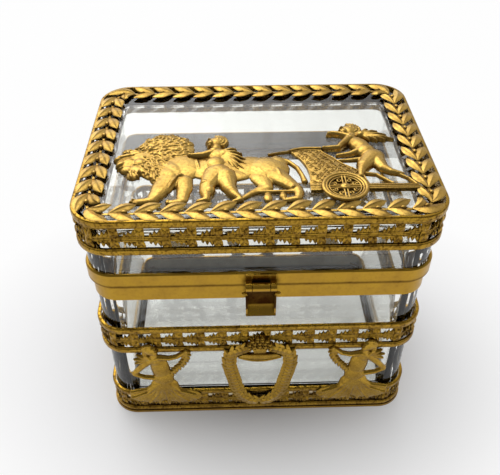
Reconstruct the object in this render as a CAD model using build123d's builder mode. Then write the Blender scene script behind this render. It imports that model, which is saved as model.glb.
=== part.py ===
"""Small glass casket with gilt mounts: a thick cut-glass box and a hollow glass lid,
edged with brass collars and openwork galleries, with a lion and chariot relief on the lid,
winged figures and laurel wreaths on the front and back, a knuckle hinge and a hinged clasp.

Frame: X across the front, Y from front to back, Z up, in millimetres.
The origin is the centre of the face that the casket stands on; the front is at -Y."""
from build123d import *
from math import acos, atan2, cos, degrees, pi, sin
import os

os.makedirs("parts", exist_ok=True)

# ---- glass ----
body_width = 131.0
body_depth = 93.0
lid_overhang = 1.0            # the lid's glass stands this far outside the body's, all round
glass_corner = 9.5
body_wall = 7.0
lid_wall = 7.0
cavity_corner = 5.0
floor_thickness = 9.0
lid_ceiling = 7.0
cavity_fillet = 2.5           # round at the foot of the hollow
glass_bevel = 0.8             # polished bevel on outer edges

# ---- heights ----
foot_height = 1.2             # plain moulding under the glass and the base gallery
joint_height = 81.5           # top of the body's collar
lid_gap = 0.2                 # between the two collars when shut
lid_height = 32.3             # from the lid collar's lower face to the lid's top face

# ---- collars ----
body_collar_height = 8.1
body_collar_wall = 0.7
lid_collar_height = 6.8
lid_collar_wall = 1.2
collar_lip = 0.8              # flange that covers the rim of the glass
collar_bevel = 0.5
body_collar_bevel = 0.35
seat_gap = 0.05               # between a mount and the glass or metal it is fixed to

# ---- openwork galleries ----
gallery_height = 15.0
gallery_top_rim = 2.7
gallery_bottom_rim = 2.3
gallery_projection = 2.4      # how far the rims stand out from the glass
web_recess = 0.5              # the pierced strip's face lies this far behind the rims' faces
base_gallery_height = 15.0
base_gallery_projection = 2.0
foot_projection = 2.3
waist_bottom = 44.9
unit_pitch = 9.2              # one repeat of the pierced pattern
window_width = 6.5
ribbon_height = 3.0           # ribbon left between the upper and lower windows
lobe_share = 0.6              # the lobes on it fill this share of a window's height at one side

# ---- laurel garland ----
garland_width = 11.2
garland_thickness = 1.2
leaf_length = 9.4
leaf_width = 4.2
leaf_belly = 0.45             # a leaf is widest at this share of its length
leaf_angle = 32.0
leaf_rise = 2.0
leaf_draft = 26.0
leaf_pitch = 9.0
stem_width = 2.2

# ---- relief on the lid and mounts on the walls ----
relief_thickness = 1.4
relief_high = 2.6
lion_haunch_height = 2.0
relief_draft = 18.0
mount_thickness = 1.3
mount_high = 2.1
wing_thickness = 1.0
wheel_radius = 8.9
wheel_thickness = 1.3
hub_rise = 0.5
wheel_rim = 2.1
wheel_hub_radius = 2.2
hub_cap_radius = 1.3
wheel_spokes = 4
spoke_width = 1.7
head_sides = 8                # heads are eight-sided here; their modelling is surface work

# ---- hinge ----
hinge_length = 60.0
knuckle_count = 5
knuckle_radius = 1.8
hinge_pin_radius = 0.8
leaf_plate = 0.9
hinge_leaf_drop = 5.6         # how far each leaf reaches from the joint
pin_clearance = 0.05
running_gap = 0.3             # between pieces that move past each other
pin_head_radius = 1.4
pin_head_length = 0.6

# ---- clasp ----
clasp_width = 11.8
clasp_plate_thickness = 0.9
clasp_knuckle_radius = 1.8
clasp_axis_rise = 2.3         # axis above the lid collar's lower face
clasp_pin_radius = 0.6
clasp_plate_lap = 1.2         # how far the plate reaches below the axis
clasp_end_knuckle = 2.3
tongue_thickness = 0.9
tongue_drop = 15.6            # from the clasp axis to the tongue's tip
tongue_flare = 3.6            # how far the tip curls out from the throat
throat_drop = 0.5             # the throat lies this far below the keeper's centre
keeper_width = 9.0
keeper_projection = 0.6
keeper_height = 1.6
keeper_drop = 5.2             # keeper's centre below the joint

# ---- sizes worked out from the above ----
lid_width = body_width + 2 * lid_overhang
lid_depth = body_depth + 2 * lid_overhang
lid_corner = glass_corner + lid_overhang
lid_bottom = joint_height + lid_gap
lid_top = lid_bottom + lid_height
body_collar_half_depth = body_depth / 2 + body_collar_wall
lid_collar_half_depth = lid_depth / 2 + lid_collar_wall
gallery_half_depth = body_depth / 2 + gallery_projection


def rounded_band(bottom, height, width, depth, corner, outside, inside):
    """Add a rectangular band round the box, from `inside` to `outside` beyond the glass."""
    with BuildSketch(Plane.XY.offset(bottom)) as ring:
        RectangleRounded(width + 2 * outside, depth + 2 * outside, corner + outside)
        RectangleRounded(width + 2 * inside, depth + 2 * inside, corner + inside, mode=Mode.SUBTRACT)
    extrude(ring.sketch, amount=height)


def limb(start, start_radius, end, end_radius):
    """Draw a tapered bar with three-sided ends in the current sketch."""
    run_x, run_y = end[0] - start[0], end[1] - start[1]
    length = (run_x ** 2 + run_y ** 2) ** 0.5
    heading = atan2(run_y, run_x)
    swing = acos((start_radius - end_radius) / length)
    corners = []
    for centre, radius, middle, spread in ((end, end_radius, heading, swing),
                                           (start, start_radius, heading + pi, pi - swing)):
        for share in (-1, -1 / 3, 1 / 3, 1):
            turn = middle + share * spread
            corners.append((centre[0] + radius * cos(turn), centre[1] + radius * sin(turn)))
    Polygon(*corners, align=None)


def limbs(face, chain, height):
    """Raise each tapered bar of `chain` from `face`, with drafted sides."""
    raised = []
    for start, start_radius, end, end_radius in chain:
        with BuildSketch(face) as bar:
            limb(start, start_radius, end, end_radius)
        raised.append(extrude(bar.sketch, amount=height, taper=relief_draft, mode=Mode.PRIVATE))
    add(raised)


def outline(face, points, height):
    """Raise a closed straight-sided outline from `face`."""
    with BuildSketch(face) as plate:
        Polygon(*points, align=None)
    extrude(plate.sketch, amount=height)


def finish(builder, name):
    """Label a finished piece and write it."""
    builder.part.label = name
    export_step(builder.part, f"parts/{name}.step")


# ================= glass =================
with BuildPart() as body_glass:
    glass_height = joint_height - collar_lip - seat_gap - foot_height
    with BuildSketch(Plane.XY.offset(foot_height)):
        RectangleRounded(body_width, body_depth, glass_corner)
    extrude(amount=glass_height)
    chamfer(faces().sort_by(Axis.Z)[0].edges(), glass_bevel)
    with BuildSketch(Plane.XY.offset(foot_height + floor_thickness)):
        RectangleRounded(body_width - 2 * body_wall, body_depth - 2 * body_wall, cavity_corner)
    extrude(amount=glass_height, mode=Mode.SUBTRACT)
    cavity_floor = faces().filter_by(Plane.XY).sort_by(Axis.Z)[1]
    fillet(cavity_floor.edges(), cavity_fillet)
finish(body_glass, "body_glass")

with BuildPart() as lid_glass:
    rim_level = lid_bottom + collar_lip + seat_gap
    with BuildSketch(Plane.XY.offset(rim_level)):
        RectangleRounded(lid_width, lid_depth, lid_corner)
    extrude(amount=lid_top - rim_level)
    chamfer(faces().sort_by(Axis.Z)[-1].edges(), glass_bevel)
    with BuildSketch(Plane.XY.offset(rim_level)):
        RectangleRounded(lid_width - 2 * lid_wall, lid_depth - 2 * lid_wall, cavity_corner)
    extrude(amount=lid_top - rim_level - lid_ceiling, mode=Mode.SUBTRACT)
    cavity_roof = faces().filter_by(Plane.XY).sort_by(Axis.Z)[-2]
    fillet(cavity_roof.edges(), cavity_fillet)
finish(lid_glass, "lid_glass")

# ================= collars =================
with BuildPart() as body_collar:
    rounded_band(joint_height - body_collar_height, body_collar_height,
                 body_width, body_depth, glass_corner, body_collar_wall, seat_gap)
    with BuildSketch(Plane.XY.offset(joint_height - collar_lip)):
        RectangleRounded(body_width + 2 * body_collar_wall, body_depth + 2 * body_collar_wall,
                         glass_corner + body_collar_wall)
        RectangleRounded(body_width - 2 * body_wall, body_depth - 2 * body_wall, cavity_corner,
                         mode=Mode.SUBTRACT)
    extrude(amount=collar_lip)
    chamfer(faces().sort_by(Axis.Z)[0].outer_wire().edges(), body_collar_bevel)
finish(body_collar, "body_collar")

with BuildPart() as lid_collar:
    rounded_band(lid_bottom, lid_collar_height, lid_width, lid_depth, lid_corner,
                 lid_collar_wall, seat_gap)
    with BuildSketch(Plane.XY.offset(lid_bottom)):
        RectangleRounded(lid_width + 2 * lid_collar_wall, lid_depth + 2 * lid_collar_wall,
                         lid_corner + lid_collar_wall)
        RectangleRounded(lid_width - 2 * lid_wall, lid_depth - 2 * lid_wall, cavity_corner,
                         mode=Mode.SUBTRACT)
    extrude(amount=collar_lip)
    flat_faces = faces().filter_by(Plane.XY).sort_by(Axis.Z)
    chamfer(flat_faces[0].outer_wire().edges() + flat_faces[-1].outer_wire().edges(), collar_bevel)
finish(lid_collar, "lid_collar")

# ================= foot frame =================
with BuildPart() as foot_frame:
    with BuildSketch():
        RectangleRounded(body_width + 2 * foot_projection, body_depth + 2 * foot_projection,
                         glass_corner + foot_projection)
        RectangleRounded(body_width - 2 * body_wall, body_depth - 2 * body_wall, cavity_corner,
                         mode=Mode.SUBTRACT)
    extrude(amount=foot_height)
finish(foot_frame, "foot_frame")


# ================= galleries =================
def side_runs(width, depth, corner, outside):
    """Planes and counts for one pierced band: four straight sides, then four corners.
    Each plane faces outward, and its X runs anticlockwise seen from above."""
    half_x, half_y = width / 2 + outside, depth / 2 + outside
    radius = corner + outside
    runs = []
    for turn, reach, span in ((-90, half_y, half_x - radius), (0, half_x, half_y - radius),
                              (90, half_y, half_x - radius), (180, half_x, half_y - radius)):
        out = Vector(1, 0, 0).rotate(Axis.Z, turn)
        along = Vector(0, 1, 0).rotate(Axis.Z, turn)
        count = max(1, round(2 * span / unit_pitch))
        runs.append((Plane(origin=out * reach, x_dir=along, z_dir=out), count, 2 * span / count))
    for quarter, (side_x, side_y) in enumerate(((1, 1), (-1, 1), (-1, -1), (1, -1))):
        centre = Vector(side_x * (half_x - radius), side_y * (half_y - radius), 0)
        turn = 90 * quarter + 45
        out = Vector(1, 0, 0).rotate(Axis.Z, turn)
        along = Vector(0, 1, 0).rotate(Axis.Z, turn)
        runs.append((Plane(origin=centre + out * radius, x_dir=along, z_dir=out), 1, unit_pitch))
    return runs


def windows(bottom, top):
    """Draw one upper and one lower window, centred on X = 0, between two heights."""
    half = window_width / 2
    middle = (bottom + top) / 2
    ribbon_top = middle + ribbon_height / 2
    ribbon_bottom = middle - ribbon_height / 2
    Polygon((-half, ribbon_top), (half, ribbon_top + lobe_share * (top - ribbon_top)),
            (half, top), (-half, top), align=None)
    Polygon((-half, bottom), (half, bottom),
            (half, ribbon_bottom - lobe_share * (ribbon_bottom - bottom)), (-half, ribbon_bottom), align=None)


def gallery(bottom, height, width, depth, corner, outside):
    """A pierced band with a proud rim along its top and its bottom, all round the glass."""
    web_bottom = bottom + gallery_bottom_rim
    web_top = bottom + height - gallery_top_rim
    web_outside = outside - web_recess
    with BuildPart() as band:
        rounded_band(bottom, height, width, depth, corner, web_outside, seat_gap)
        for rim_bottom, rim_height in ((bottom, gallery_bottom_rim), (web_top, gallery_top_rim)):
            rounded_band(rim_bottom, rim_height, width, depth, corner, outside, seat_gap)
        for face, count, pitch in side_runs(width, depth, corner, web_outside):
            with BuildSketch(face.offset(web_recess)):
                with GridLocations(pitch, 0, count, 1):
                    windows(web_bottom + seat_gap, web_top - seat_gap)
        extrude(amount=-2 * outside, mode=Mode.SUBTRACT)
    return band


base_gallery = gallery(foot_height, base_gallery_height, body_width, body_depth, glass_corner,
                       base_gallery_projection)
finish(base_gallery, "base_gallery")
waist_gallery = gallery(waist_bottom, gallery_height, body_width, body_depth, glass_corner,
                        gallery_projection)
finish(waist_gallery, "waist_gallery")
lid_gallery = gallery(lid_top - gallery_height, gallery_height, lid_width, lid_depth, lid_corner,
                      gallery_projection)
finish(lid_gallery, "lid_gallery")

# ================= laurel garland on the lid =================
def leaf(base, direction, length, width):
    """Draw one pointed leaf in the current sketch, from `base` along `direction` (degrees)."""
    with Locations(Location((base[0], base[1], 0), direction)):
        Polygon((0, 0), (length * leaf_belly, -width / 2), (length, 0), (length * leaf_belly, width / 2),
                align=None)


garland_face = Plane.XY.offset(lid_top + seat_gap)
stem_inset = gallery_projection - garland_width / 2
with BuildSketch() as stem_shape:
    RectangleRounded(lid_width + 2 * stem_inset, lid_depth + 2 * stem_inset, lid_corner + stem_inset)
stem_line = stem_shape.face().outer_wire()
pair_count = round(stem_line.length / leaf_pitch)
garland_places = []
for step in range(pair_count):
    point, heading = stem_line @ (step / pair_count), stem_line % ((step + 0.5) / pair_count)
    garland_places.append(((point.X, point.Y), degrees(atan2(heading.Y, heading.X))))

with BuildPart() as laurel_garland:
    rounded_band(garland_face.origin.Z, garland_thickness, lid_width, lid_depth, lid_corner,
                 stem_inset + stem_width / 2, stem_inset - stem_width / 2)
    raised = []
    for point, bearing in garland_places:
        for side in (1, -1):
            with BuildSketch(garland_face) as blade:
                leaf(point, bearing + side * leaf_angle, leaf_length, leaf_width)
            raised.append(extrude(blade.sketch, amount=leaf_rise, taper=leaf_draft, mode=Mode.PRIVATE))
    add(raised)
    with BuildSketch(garland_face) as limit:       # no tip reaches past the gallery at the corners
        RectangleRounded(lid_width + 2 * gallery_projection, lid_depth + 2 * gallery_projection,
                         lid_corner + gallery_projection)
    extrude(limit.sketch, amount=leaf_rise, mode=Mode.INTERSECT)
finish(laurel_garland, "laurel_garland")

# ================= relief on the lid =================
relief_face = Plane.XY.offset(lid_top + seat_gap)
upper_face = relief_face.offset(relief_thickness + seat_gap)     # pieces laid over another

lion_head = ((-57.5, -8.5), (-54.0, -5.0), (-49.0, -3.4), (-42.0, -3.0), (-40.0, -20.0), (-43.0, -23.0),
             (-44.6, -20.2), (-46.5, -23.6), (-49.4, -22.6), (-50.5, -20.4), (-54.0, -19.2),
             (-55.5, -15.0), (-57.0, -12.0))
lion_haunch = (((4.0, -17.0), 6.4, (9.5, -26.0), 3.4), ((-31.0, -17.5), 5.2, (-35.5, -25.0), 3.8))
lion_body = (((-30.0, -17.0), 8.6, (2.0, -16.8), 8.1), ((5.0, -18.5), 7.0, (10.5, -27.0), 3.6),
             ((10.5, -27.0), 3.6, (14.2, -33.0), 2.1), ((14.2, -33.0), 2.1, (14.2, -37.2), 1.8),
             ((14.2, -37.2), 1.8, (9.5, -37.6), 1.4), ((1.5, -22.0), 5.0, (2.6, -28.6), 2.6),
             ((2.6, -28.6), 2.4, (-4.5, -33.2), 1.2),
             ((-34.5, -23.0), 5.0, (-38.0, -32.5), 3.5), ((-38.0, -32.5), 3.5, (-39.4, -36.6), 2.3),
             ((-39.8, -36.9), 2.0, (-46.0, -37.4), 1.5), ((-29.0, -24.0), 3.8, (-28.3, -32.5), 3.2),
             ((-28.3, -32.5), 3.2, (-28.0, -36.6), 2.3), ((-28.0, -37.0), 1.9, (-32.4, -37.6), 1.4))
mane_centre = (-36.8, -5.6)
mane_reach = (11.6, 13.6)
mane_crown = (8.2, 10.2)
mane_curls = 15
mane_scallop = 0.88           # the notch between two curls, as a share of the reach
tail_points = ((7.0, -10.5), (12.2, -13.4), (15.6, -18.5), (16.4, -25.5))
tail_radii = (1.3, 1.1, 1.0, 1.4)
ground_top = -33.0
ground_left, ground_right = -1.2, 11.2
ground_thickness = 1.6
ground_supports = ((1.0, 4.6), (7.2, 10.0))
ground_foot = -38.6


def scalloped(centre, reach, count, notch):
    """Points of an oval with `count` lobes."""
    points = []
    for step in range(2 * count):
        turn = pi * step / count
        share = notch if step % 2 else 1.0
        points.append((centre[0] + share * reach[0] * cos(turn), centre[1] + share * reach[1] * sin(turn)))
    return points


with BuildPart() as relief_lion:
    limbs(relief_face, lion_body, relief_thickness)
    outline(relief_face, lion_head, relief_thickness)
    outline(relief_face, scalloped(mane_centre, mane_reach, mane_curls, mane_scallop), relief_thickness)
    outline(relief_face, scalloped(mane_centre, mane_crown, mane_curls, mane_scallop), relief_high)
    limbs(relief_face, lion_haunch, lion_haunch_height)
    tail = list(zip(tail_points, tail_radii))
    limbs(relief_face, [(*here, *there) for here, there in zip(tail, tail[1:])], relief_thickness)
    outline(relief_face, ((ground_left, ground_top - ground_thickness),
                          (ground_right, ground_top - ground_thickness),
                          (ground_right, ground_top), (ground_left, ground_top)), relief_thickness)
    for left, right in ground_supports:
        outline(relief_face, ((left, ground_foot), (right, ground_foot), (right, ground_top),
                              (left, ground_top)), relief_thickness)
finish(relief_lion, "relief_lion")

walker_limbs = (((-16.9, -3.5), 2.4, (-16.6, -14.0), 4.0), ((-18.0, -7.2), 1.7, (-25.0, -9.2), 1.2),
                ((-16.4, -15.0), 4.2, (-14.6, -22.0), 5.2), ((-16.2, -23.0), 4.2, (-19.6, -30.5), 2.4),
                ((-19.6, -30.5), 2.3, (-19.4, -36.8), 1.5), ((-19.4, -37.2), 1.4, (-22.6, -37.9), 1.0),
                ((-13.0, -25.0), 3.0, (-12.4, -31.4), 2.1), ((-12.4, -31.4), 2.0, (-7.4, -36.6), 1.3),
                ((-7.4, -36.6), 1.3, (-10.4, -38.0), 1.0))
walker_head = (-16.8, 1.0)
head_radius = 3.5
walker_wing = ((-14.0, -4.5), (-10.6, -5.8), (-7.6, -10.0), (-5.6, -15.6), (-6.1, -18.4),
               (-9.6, -15.4), (-13.4, -12.5))

with BuildPart() as relief_walker:
    limbs(upper_face, walker_limbs, relief_thickness)
    outline(upper_face, walker_wing, wing_thickness)
    with BuildSketch(upper_face) as head:
        with Locations(walker_head):
            RegularPolygon(head_radius, head_sides)
    extrude(head.sketch, amount=relief_thickness, taper=relief_draft)
finish(relief_walker, "relief_walker")

chariot_outline = ((13.2, -7.4), (14.2, -5.6), (25.2, -5.6), (25.6, -8.0), (30.2, -12.0), (32.0, -15.2),
                   (38.4, -20.2), (40.4, -25.4), (44.0, -28.6), (56.2, -29.4), (57.4, -33.4), (18.8, -33.4),
                   (18.8, -26.8), (17.8, -18.0), (15.8, -11.5))
wheel_centre = (31.6, -32.2)

with BuildPart() as relief_chariot:
    outline(relief_face, chariot_outline, relief_thickness)
finish(relief_chariot, "relief_chariot")

with BuildPart() as relief_wheel:
    with BuildSketch(upper_face):
        with Locations(wheel_centre):
            Circle(wheel_radius)
            Circle(wheel_radius - wheel_rim, mode=Mode.SUBTRACT)
            with PolarLocations(0, wheel_spokes // 2, angular_range=180):
                Rectangle(2 * wheel_radius - wheel_rim, spoke_width)
            Circle(wheel_hub_radius)
    extrude(amount=wheel_thickness)
    with BuildSketch(upper_face):
        with Locations(wheel_centre):
            Circle(hub_cap_radius)
    extrude(amount=wheel_thickness + hub_rise)
finish(relief_wheel, "relief_wheel")

rider_over_glass = (((39.6, 2.4), 3.8, (44.8, -9.0), 4.9), ((38.0, 5.0), 1.7, (31.2, 5.2), 1.3),
                    ((37.2, 1.0), 2.1, (33.0, -4.2), 1.5), ((33.0, -4.2), 1.5, (27.6, -4.2), 1.1),
                    ((41.0, -6.0), 1.9, (32.6, -8.8), 1.0), ((45.4, -11.0), 5.0, (42.6, -14.6), 3.3),
                    ((47.0, -13.5), 3.6, (49.4, -20.4), 2.3), ((49.4, -20.4), 2.2, (54.4, -22.6), 1.4))
rider_over_chariot = (((42.6, -14.6), 3.2, (39.8, -20.0), 2.0), ((39.8, -20.0), 1.9, (44.8, -21.6), 1.4),
                      ((44.8, -21.6), 1.4, (48.6, -27.2), 1.1))
rider_head = (38.6, 8.4)
rider_head_radius = 3.9
rider_wing = ((42.0, 8.6), (47.0, 8.0), (51.5, 5.4), (55.0, 1.8), (53.0, 0.6), (46.0, 0.2), (43.0, 2.0))

with BuildPart() as relief_rider:
    limbs(relief_face, rider_over_glass, relief_high)
    outline(relief_face, rider_wing, wing_thickness)
    with BuildSketch(relief_face) as head:
        with Locations(rider_head):
            RegularPolygon(rider_head_radius, head_sides)
    extrude(head.sketch, amount=relief_high, taper=relief_draft)
    limbs(upper_face, rider_over_chariot, relief_high - relief_thickness)
finish(relief_rider, "relief_rider")

# ================= mounts on the front and back =================
mount_reach = gallery_half_depth + seat_gap
front_face = Plane(origin=(0, -mount_reach, 0), x_dir=(1, 0, 0), z_dir=(0, -1, 0))
back_face = Plane(origin=(0, mount_reach, 0), x_dir=(-1, 0, 0), z_dir=(0, 1, 0))

wreath_centre = (0.0, 31.0)
wreath_half_width = 12.2
wreath_half_height = 18.4
wreath_stem = 2.6
wreath_leaf_length = 6.4
wreath_leaf_width = 3.4
wreath_leaf_angle = 26.0
wreath_leaf_pairs = 9
wreath_stem_sides = 28
basket_outline = ((-9.4, 40.4), (-5.0, 38.0), (0.0, 37.2), (5.0, 38.0), (9.4, 40.4), (6.4, 42.0),
                  (6.6, 47.0), (5.4, 51.5), (2.6, 54.6), (-2.6, 54.6), (-5.4, 51.5), (-6.6, 47.0),
                  (-6.4, 42.0))
basket_hole = ((2.6, 42.2), (5.0, 42.2), (5.0, 45.4))


def wreath(face):
    """Two laurel branches rising from below to a flower basket at the top."""
    with BuildPart() as piece:
        with BuildSketch(face) as branches:
            for side, mode in ((1, Mode.ADD), (-1, Mode.SUBTRACT)):
                reach = (wreath_half_width + side * wreath_stem / 2,
                         wreath_half_height + side * wreath_stem / 2)
                Polygon(*scalloped(wreath_centre, reach, wreath_stem_sides // 2, 1.0), align=None, mode=mode)
            for way in (1, -1):
                for pair in range(wreath_leaf_pairs):
                    turn = -pi / 2 + way * pi * (pair + 0.3) / (wreath_leaf_pairs + 2)
                    base = (wreath_centre[0] + wreath_half_width * cos(turn),
                            wreath_centre[1] + wreath_half_height * sin(turn))
                    along = (-way * wreath_half_width * sin(turn), way * wreath_half_height * cos(turn))
                    bearing = degrees(atan2(along[1], along[0]))
                    for side in (1, -1):
                        leaf(base, bearing + side * wreath_leaf_angle, wreath_leaf_length, wreath_leaf_width)
        extrude(branches.sketch, amount=mount_thickness)
        outline(face, basket_outline, mount_high)
        with BuildSketch(face) as holes:
            Polygon(*basket_hole, align=None)
            mirror(about=Plane.YZ)
        extrude(holes.sketch, amount=mount_high, mode=Mode.SUBTRACT)
    return piece


figure_limbs = (((-45.5, 42.0), 2.4, (-43.0, 34.0), 3.9), ((-43.0, 34.0), 3.6, (-41.8, 24.0), 4.4),
                ((-43.0, 40.2), 1.6, (-35.0, 40.5), 1.2), ((-35.0, 40.5), 1.2, (-32.0, 43.4), 1.1),
                ((-31.0, 44.4), 1.4, (-32.5, 38.0), 1.4), ((-32.5, 38.0), 1.4, (-38.5, 29.2), 1.3),
                ((-46.0, 39.5), 1.8, (-54.4, 29.8), 1.2), ((-54.4, 29.6), 1.2, (-46.0, 26.4), 1.3))
figure_head = (-46.2, 45.6)
figure_head_radius = 2.9
figure_wing = ((-46.0, 42.4), (-50.0, 43.6), (-52.6, 40.6), (-52.0, 36.8), (-48.4, 36.2), (-45.6, 38.0))
figure_skirt = ((-58.0, 12.0), (-52.0, 8.8), (-42.0, 8.0), (-31.0, 9.0), (-26.0, 11.2), (-28.5, 15.4),
                (-34.0, 18.4), (-37.4, 23.0), (-38.2, 28.0), (-46.0, 27.4), (-47.6, 22.6), (-52.0, 19.2),
                (-57.6, 16.4))


def figure(face, hand):
    """A kneeling winged figure with a bow and a strand of leaves; `hand` is 1 or -1."""
    def turned(points):
        return [(hand * x, y) for x, y in points]

    with BuildPart() as piece:
        outline(face, turned(figure_skirt), mount_thickness)
        outline(face, turned(figure_wing), mount_thickness)
        with BuildSketch(face) as body:
            for start, start_radius, end, end_radius in figure_limbs:
                limb((hand * start[0], start[1]), start_radius, (hand * end[0], end[1]), end_radius)
            with Locations((hand * figure_head[0], figure_head[1])):
                RegularPolygon(figure_head_radius, head_sides)
        extrude(body.sketch, amount=mount_high)
    return piece


for side, face in (("front", front_face), ("back", back_face)):
    finish(wreath(face), f"{side}_wreath")
    finish(figure(face, 1), f"{side}_figure_left")
    finish(figure(face, -1), f"{side}_figure_right")

# ================= hinge =================
hinge_plate_face = lid_collar_half_depth + seat_gap + leaf_plate
hinge_axis_y = hinge_plate_face + running_gap + knuckle_radius
hinge_axis_z = joint_height + lid_gap / 2
knuckle_pitch = hinge_length / knuckle_count


def bar_along_x(start, length, centre, radius, mode=Mode.ADD):
    """A round bar parallel to X; `centre` is its (Y, Z)."""
    with BuildSketch(Plane.YZ.offset(start)) as section:
        with Locations(centre):
            Circle(radius)
    extrude(section.sketch, amount=length, mode=mode)


def hinge_leaf(inner_face, first_knuckle, up):
    """One leaf: a plate on the collar and every second knuckle; `up` is 1 for the lid's."""
    edge = hinge_axis_z + up * lid_gap / 2
    with BuildPart() as piece:
        with BuildSketch(Plane.YZ.offset(-hinge_length / 2)) as section:
            Polygon((inner_face, edge), (hinge_plate_face, edge),
                    (hinge_plate_face, edge + up * hinge_leaf_drop),
                    (inner_face, edge + up * hinge_leaf_drop), align=None)
        extrude(section.sketch, amount=hinge_length)
        for index in range(first_knuckle, knuckle_count, 2):
            start = -hinge_length / 2 + index * knuckle_pitch + running_gap / 2
            length = knuckle_pitch - running_gap
            bar_along_x(start, length, (hinge_axis_y, hinge_axis_z), knuckle_radius)
            with BuildSketch(Plane.YZ.offset(start)) as web:
                Polygon((hinge_plate_face, edge), (hinge_axis_y, edge),
                        (hinge_axis_y, hinge_axis_z + up * knuckle_radius),
                        (hinge_plate_face, hinge_axis_z + up * knuckle_radius), align=None)
            extrude(web.sketch, amount=length)
        bar_along_x(-hinge_length / 2, hinge_length, (hinge_axis_y, hinge_axis_z),
                    hinge_pin_radius + pin_clearance, mode=Mode.SUBTRACT)
    return piece


finish(hinge_leaf(body_collar_half_depth + seat_gap, 0, -1), "hinge_leaf_body")
finish(hinge_leaf(lid_collar_half_depth + seat_gap, 1, 1), "hinge_leaf_lid")

with BuildPart() as hinge_pin:
    bar_along_x(-hinge_length / 2, hinge_length, (hinge_axis_y, hinge_axis_z), hinge_pin_radius)
    for start in (-hinge_length / 2 - pin_head_length, hinge_length / 2):
        bar_along_x(start, pin_head_length, (hinge_axis_y, hinge_axis_z), pin_head_radius)
finish(hinge_pin, "hinge_pin")

# ================= clasp =================
clasp_plate_face = -(lid_collar_half_depth + seat_gap + clasp_plate_thickness)
clasp_axis_y = clasp_plate_face - running_gap - clasp_knuckle_radius
clasp_axis_z = lid_bottom + clasp_axis_rise
clasp_axis = (clasp_axis_y, clasp_axis_z)
middle_knuckle = clasp_width - 2 * (clasp_end_knuckle + running_gap)
plate_bottom = clasp_axis_z - clasp_plate_lap
plate_top = lid_bottom + lid_collar_height

with BuildPart() as clasp_plate:
    with BuildSketch(Plane.YZ.offset(-clasp_width / 2)) as section:
        Polygon((clasp_plate_face + clasp_plate_thickness, plate_bottom), (clasp_plate_face, plate_bottom),
                (clasp_plate_face, plate_top), (clasp_plate_face + clasp_plate_thickness, plate_top),
                align=None)
    extrude(section.sketch, amount=clasp_width)
    for start in (-clasp_width / 2, clasp_width / 2 - clasp_end_knuckle):
        bar_along_x(start, clasp_end_knuckle, clasp_axis, clasp_knuckle_radius)
        with BuildSketch(Plane.YZ.offset(start)) as web:
            Polygon((clasp_plate_face, plate_bottom), (clasp_axis_y, plate_bottom),
                    (clasp_axis_y, clasp_axis_z + clasp_knuckle_radius),
                    (clasp_plate_face, clasp_axis_z + clasp_knuckle_radius), align=None)
        extrude(web.sketch, amount=clasp_end_knuckle)
    bar_along_x(-clasp_width / 2, clasp_width, clasp_axis, clasp_pin_radius + pin_clearance,
                mode=Mode.SUBTRACT)
finish(clasp_plate, "clasp_plate")

with BuildPart() as clasp_pin:
    bar_along_x(-clasp_width / 2, clasp_width, clasp_axis, clasp_pin_radius)
finish(clasp_pin, "clasp_pin")

keeper_z = joint_height - keeper_drop
keeper_face = -(body_collar_half_depth + seat_gap)
with BuildPart() as clasp_keeper:
    with BuildSketch(Plane.YZ.offset(-keeper_width / 2)) as section:
        Polygon((keeper_face, keeper_z - keeper_height / 2),
                (keeper_face, keeper_z + keeper_height / 2),
                (keeper_face - keeper_projection, keeper_z + keeper_height / 4),
                (keeper_face - keeper_projection, keeper_z - keeper_height / 4), align=None)
    extrude(section.sketch, amount=keeper_width)
finish(clasp_keeper, "clasp_keeper")

with BuildPart() as clasp_hasp:
    throat_y = keeper_face - keeper_projection - running_gap - tongue_thickness / 2
    neck = (clasp_axis_y + clasp_knuckle_radius / 2, clasp_axis_z - clasp_knuckle_radius / 2)
    throat = (throat_y, keeper_z - throat_drop)
    tip = (throat_y - tongue_flare, clasp_axis_z - tongue_drop)
    with BuildSketch(Plane.YZ.offset(-clasp_width / 2)) as section:
        with BuildLine():
            ThreePointArc(neck, throat, tip)
        trace(line_width=tongue_thickness)
    extrude(section.sketch, amount=clasp_width)
    bar_along_x(-clasp_width / 2, clasp_width, clasp_axis, clasp_knuckle_radius + running_gap,
                mode=Mode.SUBTRACT)
    with BuildSketch(Plane.YZ.offset(-middle_knuckle / 2)) as section:
        with BuildLine():
            ThreePointArc(neck, throat, tip)
        trace(line_width=tongue_thickness)
    extrude(section.sketch, amount=middle_knuckle)
    bar_along_x(-middle_knuckle / 2, middle_knuckle, clasp_axis, clasp_knuckle_radius)
    bar_along_x(-clasp_width / 2, clasp_width, clasp_axis, clasp_pin_radius + pin_clearance,
                mode=Mode.SUBTRACT)
finish(clasp_hasp, "clasp_hasp")
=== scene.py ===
# %% [markdown]
# # A glass casket with gilt mounts
# The real box is thick moulded glass in two parts, a body and a lid, edged with thin brass
# collars and wrapped in stamped, gilded openwork. The construction comes packed as a fixed
# frame of named nodes. Here each of them gets its finish, and the stamped ornaments, which
# are sculpture rather than engineering, are modelled afresh where the frame says they sit.

# %% Load the frame and keep its box
from math import atan2, cos, degrees, hypot, log, pi, radians, sin

import bmesh
import bpy
from mathutils import Matrix, Vector


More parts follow.
